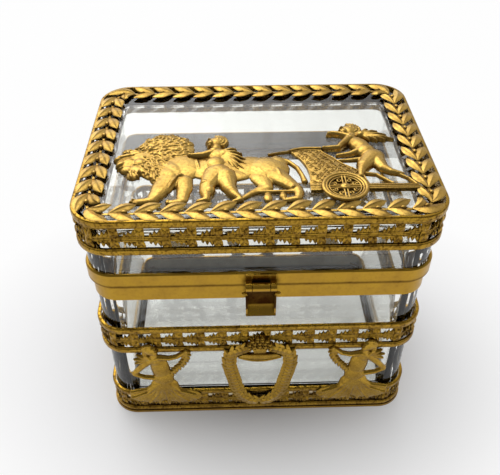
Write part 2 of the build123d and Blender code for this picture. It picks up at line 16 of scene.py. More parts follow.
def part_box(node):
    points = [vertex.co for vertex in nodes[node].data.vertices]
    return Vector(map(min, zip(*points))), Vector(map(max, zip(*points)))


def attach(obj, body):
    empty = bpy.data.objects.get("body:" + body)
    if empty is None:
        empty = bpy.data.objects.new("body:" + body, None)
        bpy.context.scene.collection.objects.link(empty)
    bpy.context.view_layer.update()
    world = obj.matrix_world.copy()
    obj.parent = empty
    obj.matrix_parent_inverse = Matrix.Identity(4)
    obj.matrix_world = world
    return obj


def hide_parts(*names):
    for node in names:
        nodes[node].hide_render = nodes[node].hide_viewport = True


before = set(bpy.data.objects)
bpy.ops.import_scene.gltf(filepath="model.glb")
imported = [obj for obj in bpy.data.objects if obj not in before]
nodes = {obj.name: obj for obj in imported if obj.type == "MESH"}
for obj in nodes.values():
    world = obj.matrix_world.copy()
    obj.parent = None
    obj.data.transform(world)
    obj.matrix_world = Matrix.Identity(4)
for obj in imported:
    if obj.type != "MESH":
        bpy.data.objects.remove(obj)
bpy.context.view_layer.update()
bpy.ops.object.select_all(action="DESELECT")
MM = 0.001

# %% [markdown]
# ## The camera
# The photograph looks down on the front of the box from a little left of centre. The angle,
# the distance and the lens were found by fitting the corners of the collars, so that the
# render can be laid over the photograph.

# %% The camera at the photograph's place
camera_pitch = radians(40.86)
camera_yaw = radians(1.71)
camera_roll = radians(-0.05)
camera_distance = 333.3 * MM
camera_target = Vector((-1.92, 32.03, 36.47)) * MM
camera_lens = 45.51                     # on a 36 mm sensor

toward_target = Vector((sin(camera_yaw) * cos(camera_pitch),
                        cos(camera_yaw) * cos(camera_pitch), -sin(camera_pitch)))
camera_data = bpy.data.cameras.new("camera")
camera_data.lens = camera_lens
camera_data.clip_start = 10 * MM
camera = bpy.data.objects.new("camera", camera_data)
camera.location = camera_target - camera_distance * toward_target
camera.rotation_euler = (pi / 2 - camera_pitch, camera_roll, -camera_yaw)
bpy.context.scene.collection.objects.link(camera)
bpy.context.scene.camera = camera
print("camera stands at", [round(value, 3) for value in camera.location])

# %% [markdown]
# ## Small helpers for wiring a node tree
# Every material below is a tree of nodes. Two short functions keep the wiring readable:
# one adds a node with its settings, the other feeds a value or another node's output
# into an input.

# %% Helpers for node trees
def add_node(tree, kind, **settings):
    """Adds a node of this kind to the tree and sets its properties."""
    node = tree.nodes.new(kind)
    for name, value in settings.items():
        setattr(node, name, value)
    return node


def feed(tree, socket, source):
    """Feeds an input with another node's output, or with a plain value."""
    if isinstance(source, bpy.types.NodeSocket):
        tree.links.new(source, socket)
    else:
        socket.default_value = source


def math_node(tree, operation, first, second=None, third=None):
    node = add_node(tree, "ShaderNodeMath", operation=operation)
    for socket, source in zip(node.inputs, (first, second, third)):
        if source is not None:
            feed(tree, socket, source)
    return node.outputs[0]


def ramp_between(tree, factor, low, high, start, end):
    """Maps factor from the range low..high to start..end, held at both ends."""
    node = add_node(tree, "ShaderNodeMapRange", clamp=True)
    for name, source in (("Value", factor), ("From Min", low), ("From Max", high),
                         ("To Min", start), ("To Max", end)):
        feed(tree, node.inputs[name], source)
    return node.outputs["Result"]


def mix_colours(tree, factor, first, second):
    node = add_node(tree, "ShaderNodeMix", data_type="RGBA")
    feed(tree, node.inputs["Factor"], factor)
    feed(tree, node.inputs["A"], first)
    feed(tree, node.inputs["B"], second)
    return node.outputs["Result"]


def noise(tree, vector, scale, detail=3.0, roughness=0.55):
    node = add_node(tree, "ShaderNodeTexNoise")
    feed(tree, node.inputs["Vector"], vector)
    feed(tree, node.inputs["Scale"], scale)
    feed(tree, node.inputs["Detail"], detail)
    feed(tree, node.inputs["Roughness"], roughness)
    return node.outputs["Fac"]


# %% [markdown]
# ## Floor, light and background
# The box was photographed on white, under very soft light from above and behind. The floor
# is a plain pale plane. What the camera, the gold and the glass see of it is lifted towards
# white by a Light Path mix, so the background is white without any stronger lamp. The lift
# grows with the distance from the box, which keeps the soft shadow round its foot.

# %% The floor
floor_half = 1.6
floor_colour = (0.86, 0.86, 0.875, 1.0)
floor_glow = (1.0, 1.0, 1.0, 1.0)
lift_near, lift_far = 0.10, 0.95       # share of plain white in what is seen of the floor
lift_start, lift_end = 48 * MM, 130 * MM
lift_through = 0.40                    # and at least this much in the metal and the glass

bpy.ops.mesh.primitive_plane_add(size=2 * floor_half, location=(0, 0, 0))
floor = bpy.context.object
floor.name = "floor"

floor_material = bpy.data.materials.new("pale_floor")
floor_material.use_nodes = True
tree = floor_material.node_tree
surface = tree.nodes["Principled BSDF"]
surface.inputs["Base Color"].default_value = floor_colour
surface.inputs["Roughness"].default_value = 0.9
surface.inputs["Specular IOR Level"].default_value = 0.1
path = add_node(tree, "ShaderNodeLightPath")
mirrored = math_node(tree, "MAXIMUM", path.outputs["Is Glossy Ray"], path.outputs["Is Transmission Ray"])
from_box = add_node(tree, "ShaderNodeVectorMath", operation="MULTIPLY")
feed(tree, from_box.inputs[0], add_node(tree, "ShaderNodeTexCoord").outputs["Object"])
from_box.inputs[1].default_value = (0.8, 1.0, 0.0)      # the box is wider than it is deep
distance = add_node(tree, "ShaderNodeVectorMath", operation="LENGTH")
feed(tree, distance.inputs[0], from_box.outputs["Vector"])
share = ramp_between(tree, distance.outputs["Value"], lift_start, lift_end, 0.0, 1.0)
lift = math_node(tree, "MULTIPLY_ADD", share, lift_far - lift_near, lift_near)
through = math_node(tree, "MULTIPLY", math_node(tree, "MAXIMUM", lift, lift_through), mirrored)
lift = math_node(tree, "MAXIMUM", math_node(tree, "MULTIPLY", path.outputs["Is Camera Ray"], lift), through)
glow = add_node(tree, "ShaderNodeEmission")
glow.inputs["Color"].default_value = floor_glow
blend = add_node(tree, "ShaderNodeMixShader")
feed(tree, blend.inputs["Fac"], lift)
feed(tree, blend.inputs[1], surface.outputs[0])
feed(tree, blend.inputs[2], glow.outputs[0])
feed(tree, tree.nodes["Material Output"].inputs["Surface"], blend.outputs[0])
floor.data.materials.append(floor_material)

# %% The world: dim on the photographer's side, with a soft bright window behind the box
window_direction = Vector((-0.38, 0.72, 0.60)).normalized()
window_level = 2.0

world = bpy.data.worlds.new("studio")
bpy.context.scene.world = world
world.use_nodes = True
tree = world.node_tree
direction = add_node(tree, "ShaderNodeTexCoord").outputs["Generated"]
axes = add_node(tree, "ShaderNodeSeparateXYZ")
feed(tree, axes.inputs[0], direction)
front_to_back = ramp_between(tree, axes.outputs["Y"], -0.3, 0.6, 0.22, 0.80)
height_share = ramp_between(tree, axes.outputs["Z"], -0.1, 0.9, 0.75, 1.05)
level = math_node(tree, "MULTIPLY", front_to_back, height_share)
facing = add_node(tree, "ShaderNodeVectorMath", operation="DOT_PRODUCT")
feed(tree, facing.inputs[0], direction)
facing.inputs[1].default_value = window_direction
window = ramp_between(tree, facing.outputs["Value"], 0.72, 0.98, 0.0, 1.0)
window = math_node(tree, "POWER", window, 2.0)
level = math_node(tree, "MULTIPLY_ADD", window, window_level, level)
path = add_node(tree, "ShaderNodeLightPath")
level = math_node(tree, "MAXIMUM", level, path.outputs["Is Camera Ray"])
level = math_node(tree, "MAXIMUM", level, math_node(tree, "MULTIPLY", path.outputs["Is Transmission Ray"], 0.7))
background = tree.nodes["Background"]
background.inputs["Color"].default_value = (1.0, 1.0, 1.0, 1.0)
feed(tree, background.inputs["Strength"], level)


# %% One soft lamp overhead
lamp = bpy.data.lights.new("ceiling", "AREA")
lamp.size = 0.9
lamp.energy = 3.4
ceiling = bpy.data.objects.new("ceiling", lamp)
ceiling.location = (-0.2, 0.45, 0.95)
bpy.context.scene.collection.objects.link(ceiling)
bpy.context.scene.view_settings.view_transform = "Standard"

# %% [markdown]
# ## Gilt brass
# Stamped brass was gilded and then lived for a century. Its raised parts are rubbed bright,
# its hollows hold a dark brown film, and the sheet between them is a warm, slightly uneven
# yellow. The dark brown laid in the hollows is that film and painted shade at once: the shade
# that falls in hollows and between parts. One node group makes that colour and roughness
# from two masks, so every gilt material can use it with its own strength.

# %% The node group shared by all gilt finishes
gilding = bpy.data.node_groups.new("gilding", "ShaderNodeTree")
# The dark brown socket below is the patina of the hollows and their painted shade in one colour.
for name, kind, start in (("Gold", "NodeSocketColor", (0.62, 0.36, 0.06, 1.0)),
                          ("Patina And Shade", "NodeSocketColor", (0.045, 0.014, 0.002, 1.0)),
                          ("Openness", "NodeSocketFloat", 1.0),
                          ("Patina And Shade Amount", "NodeSocketFloat", 0.8),
                          ("Roughness", "NodeSocketFloat", 0.28),
                          ("Grain", "NodeSocketFloat", 1.0)):
    socket = gilding.interface.new_socket(name, in_out="INPUT", socket_type=kind)
    socket.default_value = start
for name, kind in (("Colour", "NodeSocketColor"), ("Roughness", "NodeSocketFloat"),
                   ("Height", "NodeSocketFloat")):
    gilding.interface.new_socket(name, in_out="OUTPUT", socket_type=kind)

patch_scale = 160.0                     # per metre: uneven patches about 6 mm across
speck_scale = 900.0
group_in = add_node(gilding, "NodeGroupInput")
group_out = add_node(gilding, "NodeGroupOutput")
place = add_node(gilding, "ShaderNodeTexCoord").outputs["Object"]
patches = noise(gilding, place, patch_scale, detail=4.0)
specks = noise(gilding, place, speck_scale, detail=2.0)
# Patina together with painted shade: the less open the metal, the darker it is painted.
hollow = math_node(gilding, "SUBTRACT", 1.0, group_in.outputs["Openness"])
patina_and_shade = math_node(gilding, "MULTIPLY", hollow, group_in.outputs["Patina And Shade Amount"])
patch_film = ramp_between(gilding, patches, 0.42, 0.72, 0.0, 0.3)
patina_and_shade = math_node(gilding, "ADD", patina_and_shade, math_node(gilding, "MULTIPLY", patch_film, group_in.outputs["Grain"]))
speck_film = ramp_between(gilding, specks, 0.48, 0.72, 0.0, 0.24)
grain_squared = math_node(gilding, "POWER", group_in.outputs["Grain"], 2.0)
patina_and_shade = math_node(gilding, "ADD", patina_and_shade, math_node(gilding, "MULTIPLY", speck_film, grain_squared))
patina_and_shade = math_node(gilding, "MINIMUM", patina_and_shade, 1.0)
warmer = mix_colours(gilding, ramp_between(gilding, patches, 0.35, 0.65, 0.0, 0.2),
                     group_in.outputs["Gold"], (0.60, 0.33, 0.06, 1.0))
colour = mix_colours(gilding, patina_and_shade, warmer, group_in.outputs["Patina And Shade"])
rougher = ramp_between(gilding, specks, 0.3, 0.7, -0.05, 0.08)
rougher = math_node(gilding, "MULTIPLY", rougher, group_in.outputs["Grain"])
dulled = math_node(gilding, "MULTIPLY_ADD", patina_and_shade, 0.3, rougher)
feed(gilding, group_out.inputs["Colour"], colour)
feed(gilding, group_out.inputs["Roughness"],
     math_node(gilding, "ADD", group_in.outputs["Roughness"], dulled))
feed(gilding, group_out.inputs["Height"],
     math_node(gilding, "MULTIPLY", specks, group_in.outputs["Grain"]))


# %% Gilt materials
def gilt_material(name, gold, roughness, patina_and_shade, hollow_reach, bump, clean_at=0.8, grain=1.0, shade_band=None,
                  alone=False):
    """Gilt brass: its hollows, up to hollow_reach deep (mm), hold a dark film that is partly
    patina and partly painted shade. Metal that is more open than clean_at has none. A film band
    (height, half its height, fade) is painted shade, a level line of it on the upright faces as
    well. With `alone`, the piece's neighbours make no hollows, so that its back isn't black
    where it is seen through the glass."""
    material = bpy.data.materials.new(name)
    material.use_nodes = True
    tree = material.node_tree
    surface = tree.nodes["Principled BSDF"]
    surface.inputs["Metallic"].default_value = 1.0
    # Occlusion finds the hollows and the contacts with neighbouring parts; the dark brown laid there is patina and
    # painted shade at once.
    shelter = add_node(tree, "ShaderNodeAmbientOcclusion", samples=6, only_local=alone)
    shelter.inputs["Distance"].default_value = hollow_reach * MM
    openness = ramp_between(tree, shelter.outputs["AO"], 0.25, clean_at, 0.0, 1.0)
    # Painted shade: the dark brown laid in a level band on the upright faces, for shade that falls there.
    if shade_band:
        level, half, fade = (value * MM for value in shade_band)
        coordinates = add_node(tree, "ShaderNodeTexCoord")
        height = add_node(tree, "ShaderNodeSeparateXYZ")
        feed(tree, height.inputs[0], coordinates.outputs["Object"])
        away = math_node(tree, "ABSOLUTE", math_node(tree, "SUBTRACT", height.outputs["Z"], level))
        clear = ramp_between(tree, away, half, half + fade, 0.0, 1.0)
        facing = add_node(tree, "ShaderNodeSeparateXYZ")
        feed(tree, facing.inputs[0], coordinates.outputs["Normal"])
        level_face = ramp_between(tree, math_node(tree, "ABSOLUTE", facing.outputs["Z"]), 0.75, 0.95, 0.0, 1.0)
        openness = math_node(tree, "MULTIPLY", openness, math_node(tree, "MAXIMUM", clear, level_face))
    finish = add_node(tree, "ShaderNodeGroup", node_tree=gilding)
    for socket, source in (("Gold", gold), ("Openness", openness), ("Patina And Shade Amount", patina_and_shade),
                           ("Roughness", roughness), ("Grain", grain)):
        feed(tree, finish.inputs[socket], source)
    relief = add_node(tree, "ShaderNodeBump")
    relief.inputs["Strength"].default_value = bump
    relief.inputs["Distance"].default_value = 0.1 * MM
    feed(tree, relief.inputs["Height"], finish.outputs["Height"])
    feed(tree, surface.inputs["Base Color"], finish.outputs["Colour"])
    feed(tree, surface.inputs["Roughness"], finish.outputs["Roughness"])
    feed(tree, surface.inputs["Normal"], relief.outputs["Normal"])
    return material


relief_gold = (0.515, 0.325, 0.075, 1.0)
# The wall, gallery and collar golds are the relief's gilding painted darker, as shade on upright faces that look
# towards the dim front.
wall_gold_shaded = (0.44, 0.265, 0.035, 1.0)
gallery_gold_shaded = (0.40, 0.235, 0.025, 1.0)
collar_gold_shaded = (0.44, 0.258, 0.028, 1.0)
# Painted light: the pale gold of the band behind the foot's openwork stands in for light showing through its windows.
painted_light_gold = (0.95, 0.86, 0.64, 1.0)
# Painted shadow on the collars at the joint, where the lid collar's overhang shades the body collar below.
joint_painted_shadow = (81.6, 0.5, 1.2)
# Painted dark reflection on the hasp's tongue, whose bowed upper half mirrors the shaded floor in front.
tongue_painted_reflection = (76.2, 3.2, 0.8)
# Besides patina, the dark brown in each finish's hollows is painted shade; its amount and reach are set per finish.
gilt_garland = gilt_material("gilt_garland", relief_gold, 0.24, 0.97, 1.8, 0.4, clean_at=0.92, alone=True)
gilt_relief = gilt_material("gilt_relief", relief_gold, 0.25, 0.95, 1.6, 0.4, clean_at=0.9)
gilt_wall = gilt_material("gilt_wall", wall_gold_shaded, 0.25, 0.75, 1.6, 0.4, clean_at=0.8)
# Painted light: the pale band's finish has no film.
gilt_painted_light = gilt_material("gilt_painted_light", painted_light_gold, 0.35, 0.0, 1.6, 0.1, grain=0.2, alone=True)
gilt_gallery = gilt_material("gilt_gallery", gallery_gold_shaded, 0.24, 0.97, 2.4, 0.4, clean_at=0.98, grain=1.6,
                             alone=True)
gilt_collar = gilt_material("gilt_collar", collar_gold_shaded, 0.30, 0.8, 2.4, 0.15, grain=0.6, shade_band=joint_painted_shadow)
gilt_fitting = gilt_material("gilt_fitting", collar_gold_shaded, 0.22, 0.8, 1.6, 0.1, grain=0.5)
gilt_tongue = gilt_material("gilt_tongue", collar_gold_shaded, 0.26, 0.9, 2.0, 0.1, grain=0.5, shade_band=tongue_painted_reflection)

# %% [markdown]
# ## Glass
# The body and the lid are clear glass with walls 7 mm thick. Most of what the eye reads as
# "glass" is the light bent at the rounded corners, so the material stays simple: full
# transmission, an ordinary glass index, and a trace of grey-green that only shows where the
# light travels a long way inside.

# %% The glass material
clear_glass = bpy.data.materials.new("clear_glass")
clear_glass.use_nodes = True
tree = clear_glass.node_tree
surface = tree.nodes["Principled BSDF"]
surface.inputs["Base Color"].default_value = (0.935, 0.945, 0.92, 1.0)
surface.inputs["Transmission Weight"].default_value = 1.0
surface.inputs["Roughness"].default_value = 0.02
surface.inputs["IOR"].default_value = 1.5

# %% [markdown]
# ## The bench
# The ornaments are modelled in millimetres on a bench: X to the right, Y up the picture, and
# Z towards the eye. Each one is then laid on the face that carries it, which turns it and
# scales it to metres in one step and leaves its object unturned at the origin, as the CAD
# nodes are. The faces come from the frame: the top of the lid's glass, and the planes of the
# mounts on the front and back walls.

# %% The faces that ornaments are laid on
lid_low, lid_high = (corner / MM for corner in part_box("lid_glass"))
body_low, body_high = (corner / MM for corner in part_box("body_glass"))
seat = 0.05                             # film of cement between a mount and its ground
front_reach = -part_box("front_wreath")[1].y / MM
back_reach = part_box("back_wreath")[0].y / MM
to_metres = Matrix.Scale(MM, 4)

box_frame = to_metres
lid_face = to_metres @ Matrix.Translation((0, 0, lid_high.z + seat))
front_face = to_metres @ Matrix(((1, 0, 0, 0), (0, 0, -1, -front_reach), (0, 1, 0, 0), (0, 0, 0, 1)))
back_face = to_metres @ Matrix(((-1, 0, 0, 0), (0, 0, 1, back_reach), (0, 1, 0, 0), (0, 0, 0, 1)))
print("lid face at", round(lid_high.z, 2), "mm; front mounts at", round(-front_reach, 2), "mm")


# %% Selecting, joining and finishing
def choose(piece, kind, test):
    """In edit mode, selects just the vertices, edges or faces that pass the test."""
    bpy.ops.mesh.select_mode(type=kind)
    bpy.ops.mesh.select_all(action="DESELECT")
    shell = bmesh.from_edit_mesh(piece.data)
    for part in {"VERT": shell.verts, "EDGE": shell.edges, "FACE": shell.faces}[kind]:
        part.select = test(part)
    shell.select_flush_mode()
    bmesh.update_edit_mesh(piece.data)


def only(piece):
    """Makes this piece the selected and active one."""
    bpy.ops.object.select_all(action="DESELECT")
    piece.select_set(True)
    bpy.context.view_layer.objects.active = piece


def joined(parts, name):
    """Joins parts into one piece, whose place is all in its mesh."""
    bpy.ops.object.select_all(action="DESELECT")
    for part in parts:
        part.select_set(True)
    bpy.context.view_layer.objects.active = parts[0]
    if len(parts) > 1:
        bpy.ops.object.join()
    piece = bpy.context.object
    piece.name = piece.data.name = name
    bpy.ops.object.transform_apply(location=True, rotation=True, scale=True)
    return piece


def modify(piece, kind, **settings):
    """Adds a modifier, sets it and applies it."""
    only(piece)
    modifier = piece.modifiers.new(kind.title(), kind)
    for name, value in settings.items():
        setattr(modifier, name, value)
    bpy.ops.object.modifier_apply(modifier=modifier.name)


def copy_of(piece, matrix):
    """A copy of the piece with its own mesh, moved by the matrix."""
    twin = piece.copy()
    twin.data = piece.data.copy()
    twin.data.transform(matrix)
    bpy.context.scene.collection.objects.link(twin)
    return twin


def settle(piece, face, body, replaced, material, smooth_angle=40):
    """Lays a finished piece on its face and tells the frame what it is."""
    piece.data.transform(face)
    if face.determinant() < 0:
        piece.data.flip_normals()
    piece.data.materials.clear()
    piece.data.materials.append(material)
    only(piece)
    bpy.ops.object.shade_smooth_by_angle(angle=radians(smooth_angle))
    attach(piece, body)
    if replaced:
        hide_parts(*replaced)
    triangles = sum(len(face.vertices) - 2 for face in piece.data.polygons)
    print(f"{piece.name}: {triangles} triangles")
    bpy.ops.object.select_all(action="DESELECT")


# %% [markdown]
# ## Walking round the box
# The galleries and the garland follow a rectangle with rounded corners. One function gives
# the point and the outward direction at any distance along it, so a strip that is modelled
# flat can be wrapped round, and leaves can be set one after another.

# %% A rounded rectangle by distance
def ring_length(half_x, half_y, radius):
    return 4 * (half_x + half_y - 2 * radius) + 2 * pi * radius


def ring_at(distance, half_x, half_y, radius):
    """Point and outward direction at this distance, anticlockwise from above, starting at
    the middle of the front."""
    straights = (2 * (half_x - radius), 2 * (half_y - radius))
    arc = radius * pi / 2
    left = (distance + straights[0] / 2) % ring_length(half_x, half_y, radius)
    for quarter in range(4):
        straight = straights[quarter % 2]
        reach = half_y if quarter % 2 == 0 else half_x
        turn = quarter * pi / 2
        along = Vector((cos(turn), sin(turn), 0))
        outward = Vector((sin(turn), -cos(turn), 0))
        if left <= straight:
            return outward * reach + along * (left - straight / 2), outward
        left -= straight
        if left <= arc or quarter == 3:
            swing = turn + left / radius
            centre = outward * (reach - radius) + along * straight / 2
            outward = Vector((sin(swing), -cos(swing), 0))
            return centre + outward * radius, outward
        left -= arc


def wrap_round(piece, ring, upright):
    """Bends a piece that was modelled along X round the ring. A piece that lies flat has its
    left side inwards; an upright one faces outwards."""
    for vertex in piece.data.vertices:
        along, across, lift = vertex.co
        point, outward = ring_at(along, *ring)
        out, up = (lift, across) if upright else (-across, lift)
        vertex.co = point + outward * out + Vector((0, 0, up))


lid_half = (lid_high.x, lid_high.y)
body_half = (body_high.x, body_high.y)
body_corner = 9.5
lid_corner = body_corner + lid_half[0] - body_half[0]

# %% [markdown]
# ## Laurel leaves
# Every leaf on the box is one shape at different sizes: a narrow blade with a raised midrib
# and a gentle arch. It starts as a flat grid. Each row across is scaled to the leaf's
# outline and lifted to its arch, the midrib is pulled up, and Solidify gives it a body.

# %% One leaf
def blade(length, width, arch, crease, thickness, rows=8, columns=2, ridge=0.0, fullest=0.44):
    """A leaf along +X from the origin, lying just above Z = 0, widest at this share of its
    length. With six columns, the ridge stands out along the midrib and along one vein on
    each side of it."""
    swell = log(0.5) / log(fullest)
    bpy.ops.mesh.primitive_grid_add(x_subdivisions=rows, y_subdivisions=columns, size=1,
                                    location=(0.5, 0, 0))
    leaf = bpy.context.object
    bpy.ops.object.transform_apply(location=True, rotation=True, scale=True)
    bpy.ops.object.mode_set(mode="EDIT")
    for share in sorted({round(vertex.co.x, 4) for vertex in leaf.data.vertices}):
        half_outline = max(0.02, sin(pi * share ** swell) ** 0.9 + 0.16 * (1 - share) ** 2)
        choose(leaf, "VERT", lambda vertex: abs(vertex.co.x - share) < 0.001)
        bpy.ops.transform.resize(value=(1, width * half_outline, 1))
        bpy.ops.transform.translate(value=(0, 0, arch * sin(pi * share ** 0.7)))
        for column in range(columns // 2):
            reach = width * half_outline * column / columns
            choose(leaf, "VERT", lambda vertex: abs(vertex.co.x - share) < 0.001 and abs(abs(vertex.co.y) - reach) < 0.005)
            lift = crease * (1 - 2 * column / columns) + (ridge if column % 2 == 0 else 0)
            bpy.ops.transform.translate(value=(0, 0, lift * half_outline))
    bpy.ops.mesh.select_all(action="SELECT")
    bpy.ops.transform.resize(value=(length, 1, 1), center_override=(0, 0, 0))
    bpy.ops.object.mode_set(mode="OBJECT")
    modify(leaf, "SOLIDIFY", thickness=thickness, offset=-1)
    leaf.data.transform(Matrix.Translation((0, 0, thickness)))
    return leaf


# %% [markdown]
# ## The garland on the lid
# Pairs of leaves open like arrowheads along a stem that runs all round the lid. Their tips
# stand proud, like scales, over the root of the next pair, and a berry sits in the fork of
# each pair. One leaf is modelled, widest towards its tip and slightly bowed, then copied
# along a straight stem, turned left and right, and tipped up. A small seeded variation keeps
# the row from looking machined. The whole row is then wrapped round.

# %% Garland
from random import Random

garland_width = 11.0
garland_out = 2.0                       # the leaf tips reach this far beyond the lid's glass
garland_pitch = 9.1
leaf_size = (10.5, 4.6)
leaf_angle = radians(26)
leaf_bow = 0.15
berry_place = 5.6                       # from the root of its pair
leaf_tilt = radians(6)
tip_lift = radians(3)
garland_chance = Random(5)

stem_out = garland_out - garland_width / 2
stem_ring = (lid_half[0] + stem_out, lid_half[1] + stem_out, lid_corner + stem_out)
pair_count = round(ring_length(*stem_ring) / garland_pitch)
pair_gap = ring_length(*stem_ring) / pair_count

one_leaf = blade(*leaf_size, arch=0.3, crease=0.7, thickness=0.45, columns=6, ridge=0.25, fullest=0.57)
bowed = {}
for side in (1, -1):
    bowed[side] = copy_of(one_leaf, Matrix())
    for vertex in bowed[side].data.vertices:
        share = vertex.co.x / leaf_size[0]
        vertex.co.y += side * leaf_bow * 4 * share * (1 - share)
garland_parts = []
for pair in range(pair_count):
    root = Matrix.Translation((pair * pair_gap, 0, 0.1))
    for side in (1, -1):
        turn = side * (leaf_angle + garland_chance.uniform(-0.03, 0.03))
        size = garland_chance.uniform(0.97, 1.03)
        placed = (root @ Matrix.Rotation(turn, 4, "Z") @ Matrix.Rotation(-tip_lift, 4, "Y")
                  @ Matrix.Rotation(side * leaf_tilt, 4, "X") @ Matrix.Scale(size, 4))
        garland_parts.append(copy_of(bowed[side], placed))
    bpy.ops.mesh.primitive_uv_sphere_add(segments=10, ring_count=6, radius=1, scale=(1.2, 0.85, 0.8),
                                         location=(pair * pair_gap + berry_place, 0, 1.1))
    garland_parts.append(bpy.context.object)
for pattern in (one_leaf, bowed[1], bowed[-1]):
    bpy.data.objects.remove(pattern)
leaves = joined(garland_parts, "leaves")
wrap_round(leaves, stem_ring, upright=False)
print("garland:", pair_count, "pairs of leaves")


# %% [markdown]
# ## A band round the box
# Rims, beads and the garland's stem are all bands that go right round. Each starts as one
# square face: its corners are bevelled round, an inset leaves the wall, the middle is
# deleted, the ring is extruded up, and its outer edges are softened.

# %% Bands
def ring_band(bottom, height, half, corner, outside, wall, soft, soft_steps=3, corner_steps=10):
    """A band whose outer face stands `outside` beyond the glass and whose wall goes inwards."""
    bpy.ops.mesh.primitive_plane_add(size=2, location=(0, 0, bottom),
                                     scale=(1, 1, 1))
    band = bpy.context.object
    band.scale = (half[0] + outside, half[1] + outside, 1)
    bpy.ops.object.transform_apply(location=True, rotation=True, scale=True)
    bpy.ops.object.mode_set(mode="EDIT")
    bpy.ops.mesh.select_all(action="SELECT")
    bpy.ops.mesh.bevel(offset=corner + outside, segments=corner_steps, affect="VERTICES")
    bpy.ops.mesh.inset(thickness=wall)
    bpy.ops.mesh.delete(type="FACE")
    bpy.ops.mesh.select_all(action="SELECT")
    bpy.ops.mesh.extrude_region_move(TRANSFORM_OT_translate={"value": (0, 0, height)})
    bpy.ops.mesh.select_all(action="SELECT")
    bpy.ops.mesh.normals_make_consistent(inside=False)

    def on_outer_rim(edge):
        faces = edge.link_faces
        if len(faces) != 2 or edge.calc_face_angle(0) < 1:
            return False
        return any(abs(f.normal.z) < 0.5 and f.normal.dot(f.calc_center_median()) > 0 for f in faces)

    choose(band, "EDGE", on_outer_rim)
    bpy.ops.mesh.bevel(offset=soft, segments=soft_steps, affect="EDGES")
    bpy.ops.object.mode_set(mode="OBJECT")
    return band


stem = ring_band(0, 0.4, lid_half, lid_corner, stem_out + 0.5, 1.0, 0.12)
settle(joined([leaves, stem], "garland"), lid_face, "lid", ["laurel_garland"], gilt_garland)

# %% [markdown]
# ## The pierced galleries
# Each gallery is a strip of stamped sheet between two rounded rims. Its pattern repeats
# about every 9 mm: a leafy post, a ribbon along the middle with fine lines on it, and
# serrated foliage that climbs from the ribbon to the right, above and below, and leaves a
# window of jagged light on each side. The repeat is modelled once, flat, the Array modifier
# makes the strip, and the strip is wrapped round.

# %% Bars and plates
def block(centre, size, soft, steps=2):
    """A small bar with softened edges."""
    bpy.ops.mesh.primitive_cube_add(size=1, location=centre, scale=size)
    bar = bpy.context.object
    bpy.ops.object.transform_apply(location=True, rotation=True, scale=True)
    if soft:
        modify(bar, "BEVEL", width=soft, segments=steps, limit_method="ANGLE")
    return bar


def plate(points, height, soft, ground=0.0):
    """A flat piece with this outline and softened upper edges."""
    bpy.ops.mesh.primitive_circle_add(vertices=len(points), radius=1, fill_type="NGON")
    sheet = bpy.context.object
    for vertex, (x, y) in zip(sheet.data.vertices, points):
        vertex.co = (x, y, ground)
    bpy.ops.object.mode_set(mode="EDIT")
    bpy.ops.mesh.select_all(action="SELECT")
    bpy.ops.mesh.extrude_region_move(TRANSFORM_OT_translate={"value": (0, 0, height)})
    bpy.ops.mesh.select_all(action="SELECT")
    bpy.ops.mesh.normals_make_consistent(inside=False)
    top = ground + height
    choose(sheet, "EDGE", lambda edge: all(abs(vertex.co.z - top) < 0.001 for vertex in edge.verts))
    bpy.ops.mesh.bevel(offset=soft, segments=2, affect="EDGES")
    bpy.ops.object.mode_set(mode="OBJECT")
    return sheet


# %% One repeat of the pattern
repeat_pitch = 9.2
post_width = 3.2
ribbon_low, ribbon_high = -1.6, 0.8     # from the middle of the web
sheet_thickness = 0.7
foliage = ((-3.2, 0.0), (-2.5, 1.6), (-1.8, 0.5), (-1.0, 2.5), (-0.2, 0.9), (0.9, 3.0), (1.6, 1.3),
           (2.6, 3.5), (3.4, 2.4), (3.4, -0.4), (-3.2, -0.4))
veins = ((-2.5, 1.1), (-1.1, 1.9), (0.7, 2.3), (2.4, 2.7))
post_teeth = ((-1.7, -1.0), (-1.2, -0.75), (-1.8, -0.4), (-1.5, 0.0), (-1.2, 0.4), (-1.8, 0.7), (-1.5, 1.0),
              (1.6, 1.0), (1.2, 0.7), (1.7, 0.35), (1.5, 0.0), (1.2, -0.45), (1.7, -0.75), (1.6, -1.0))


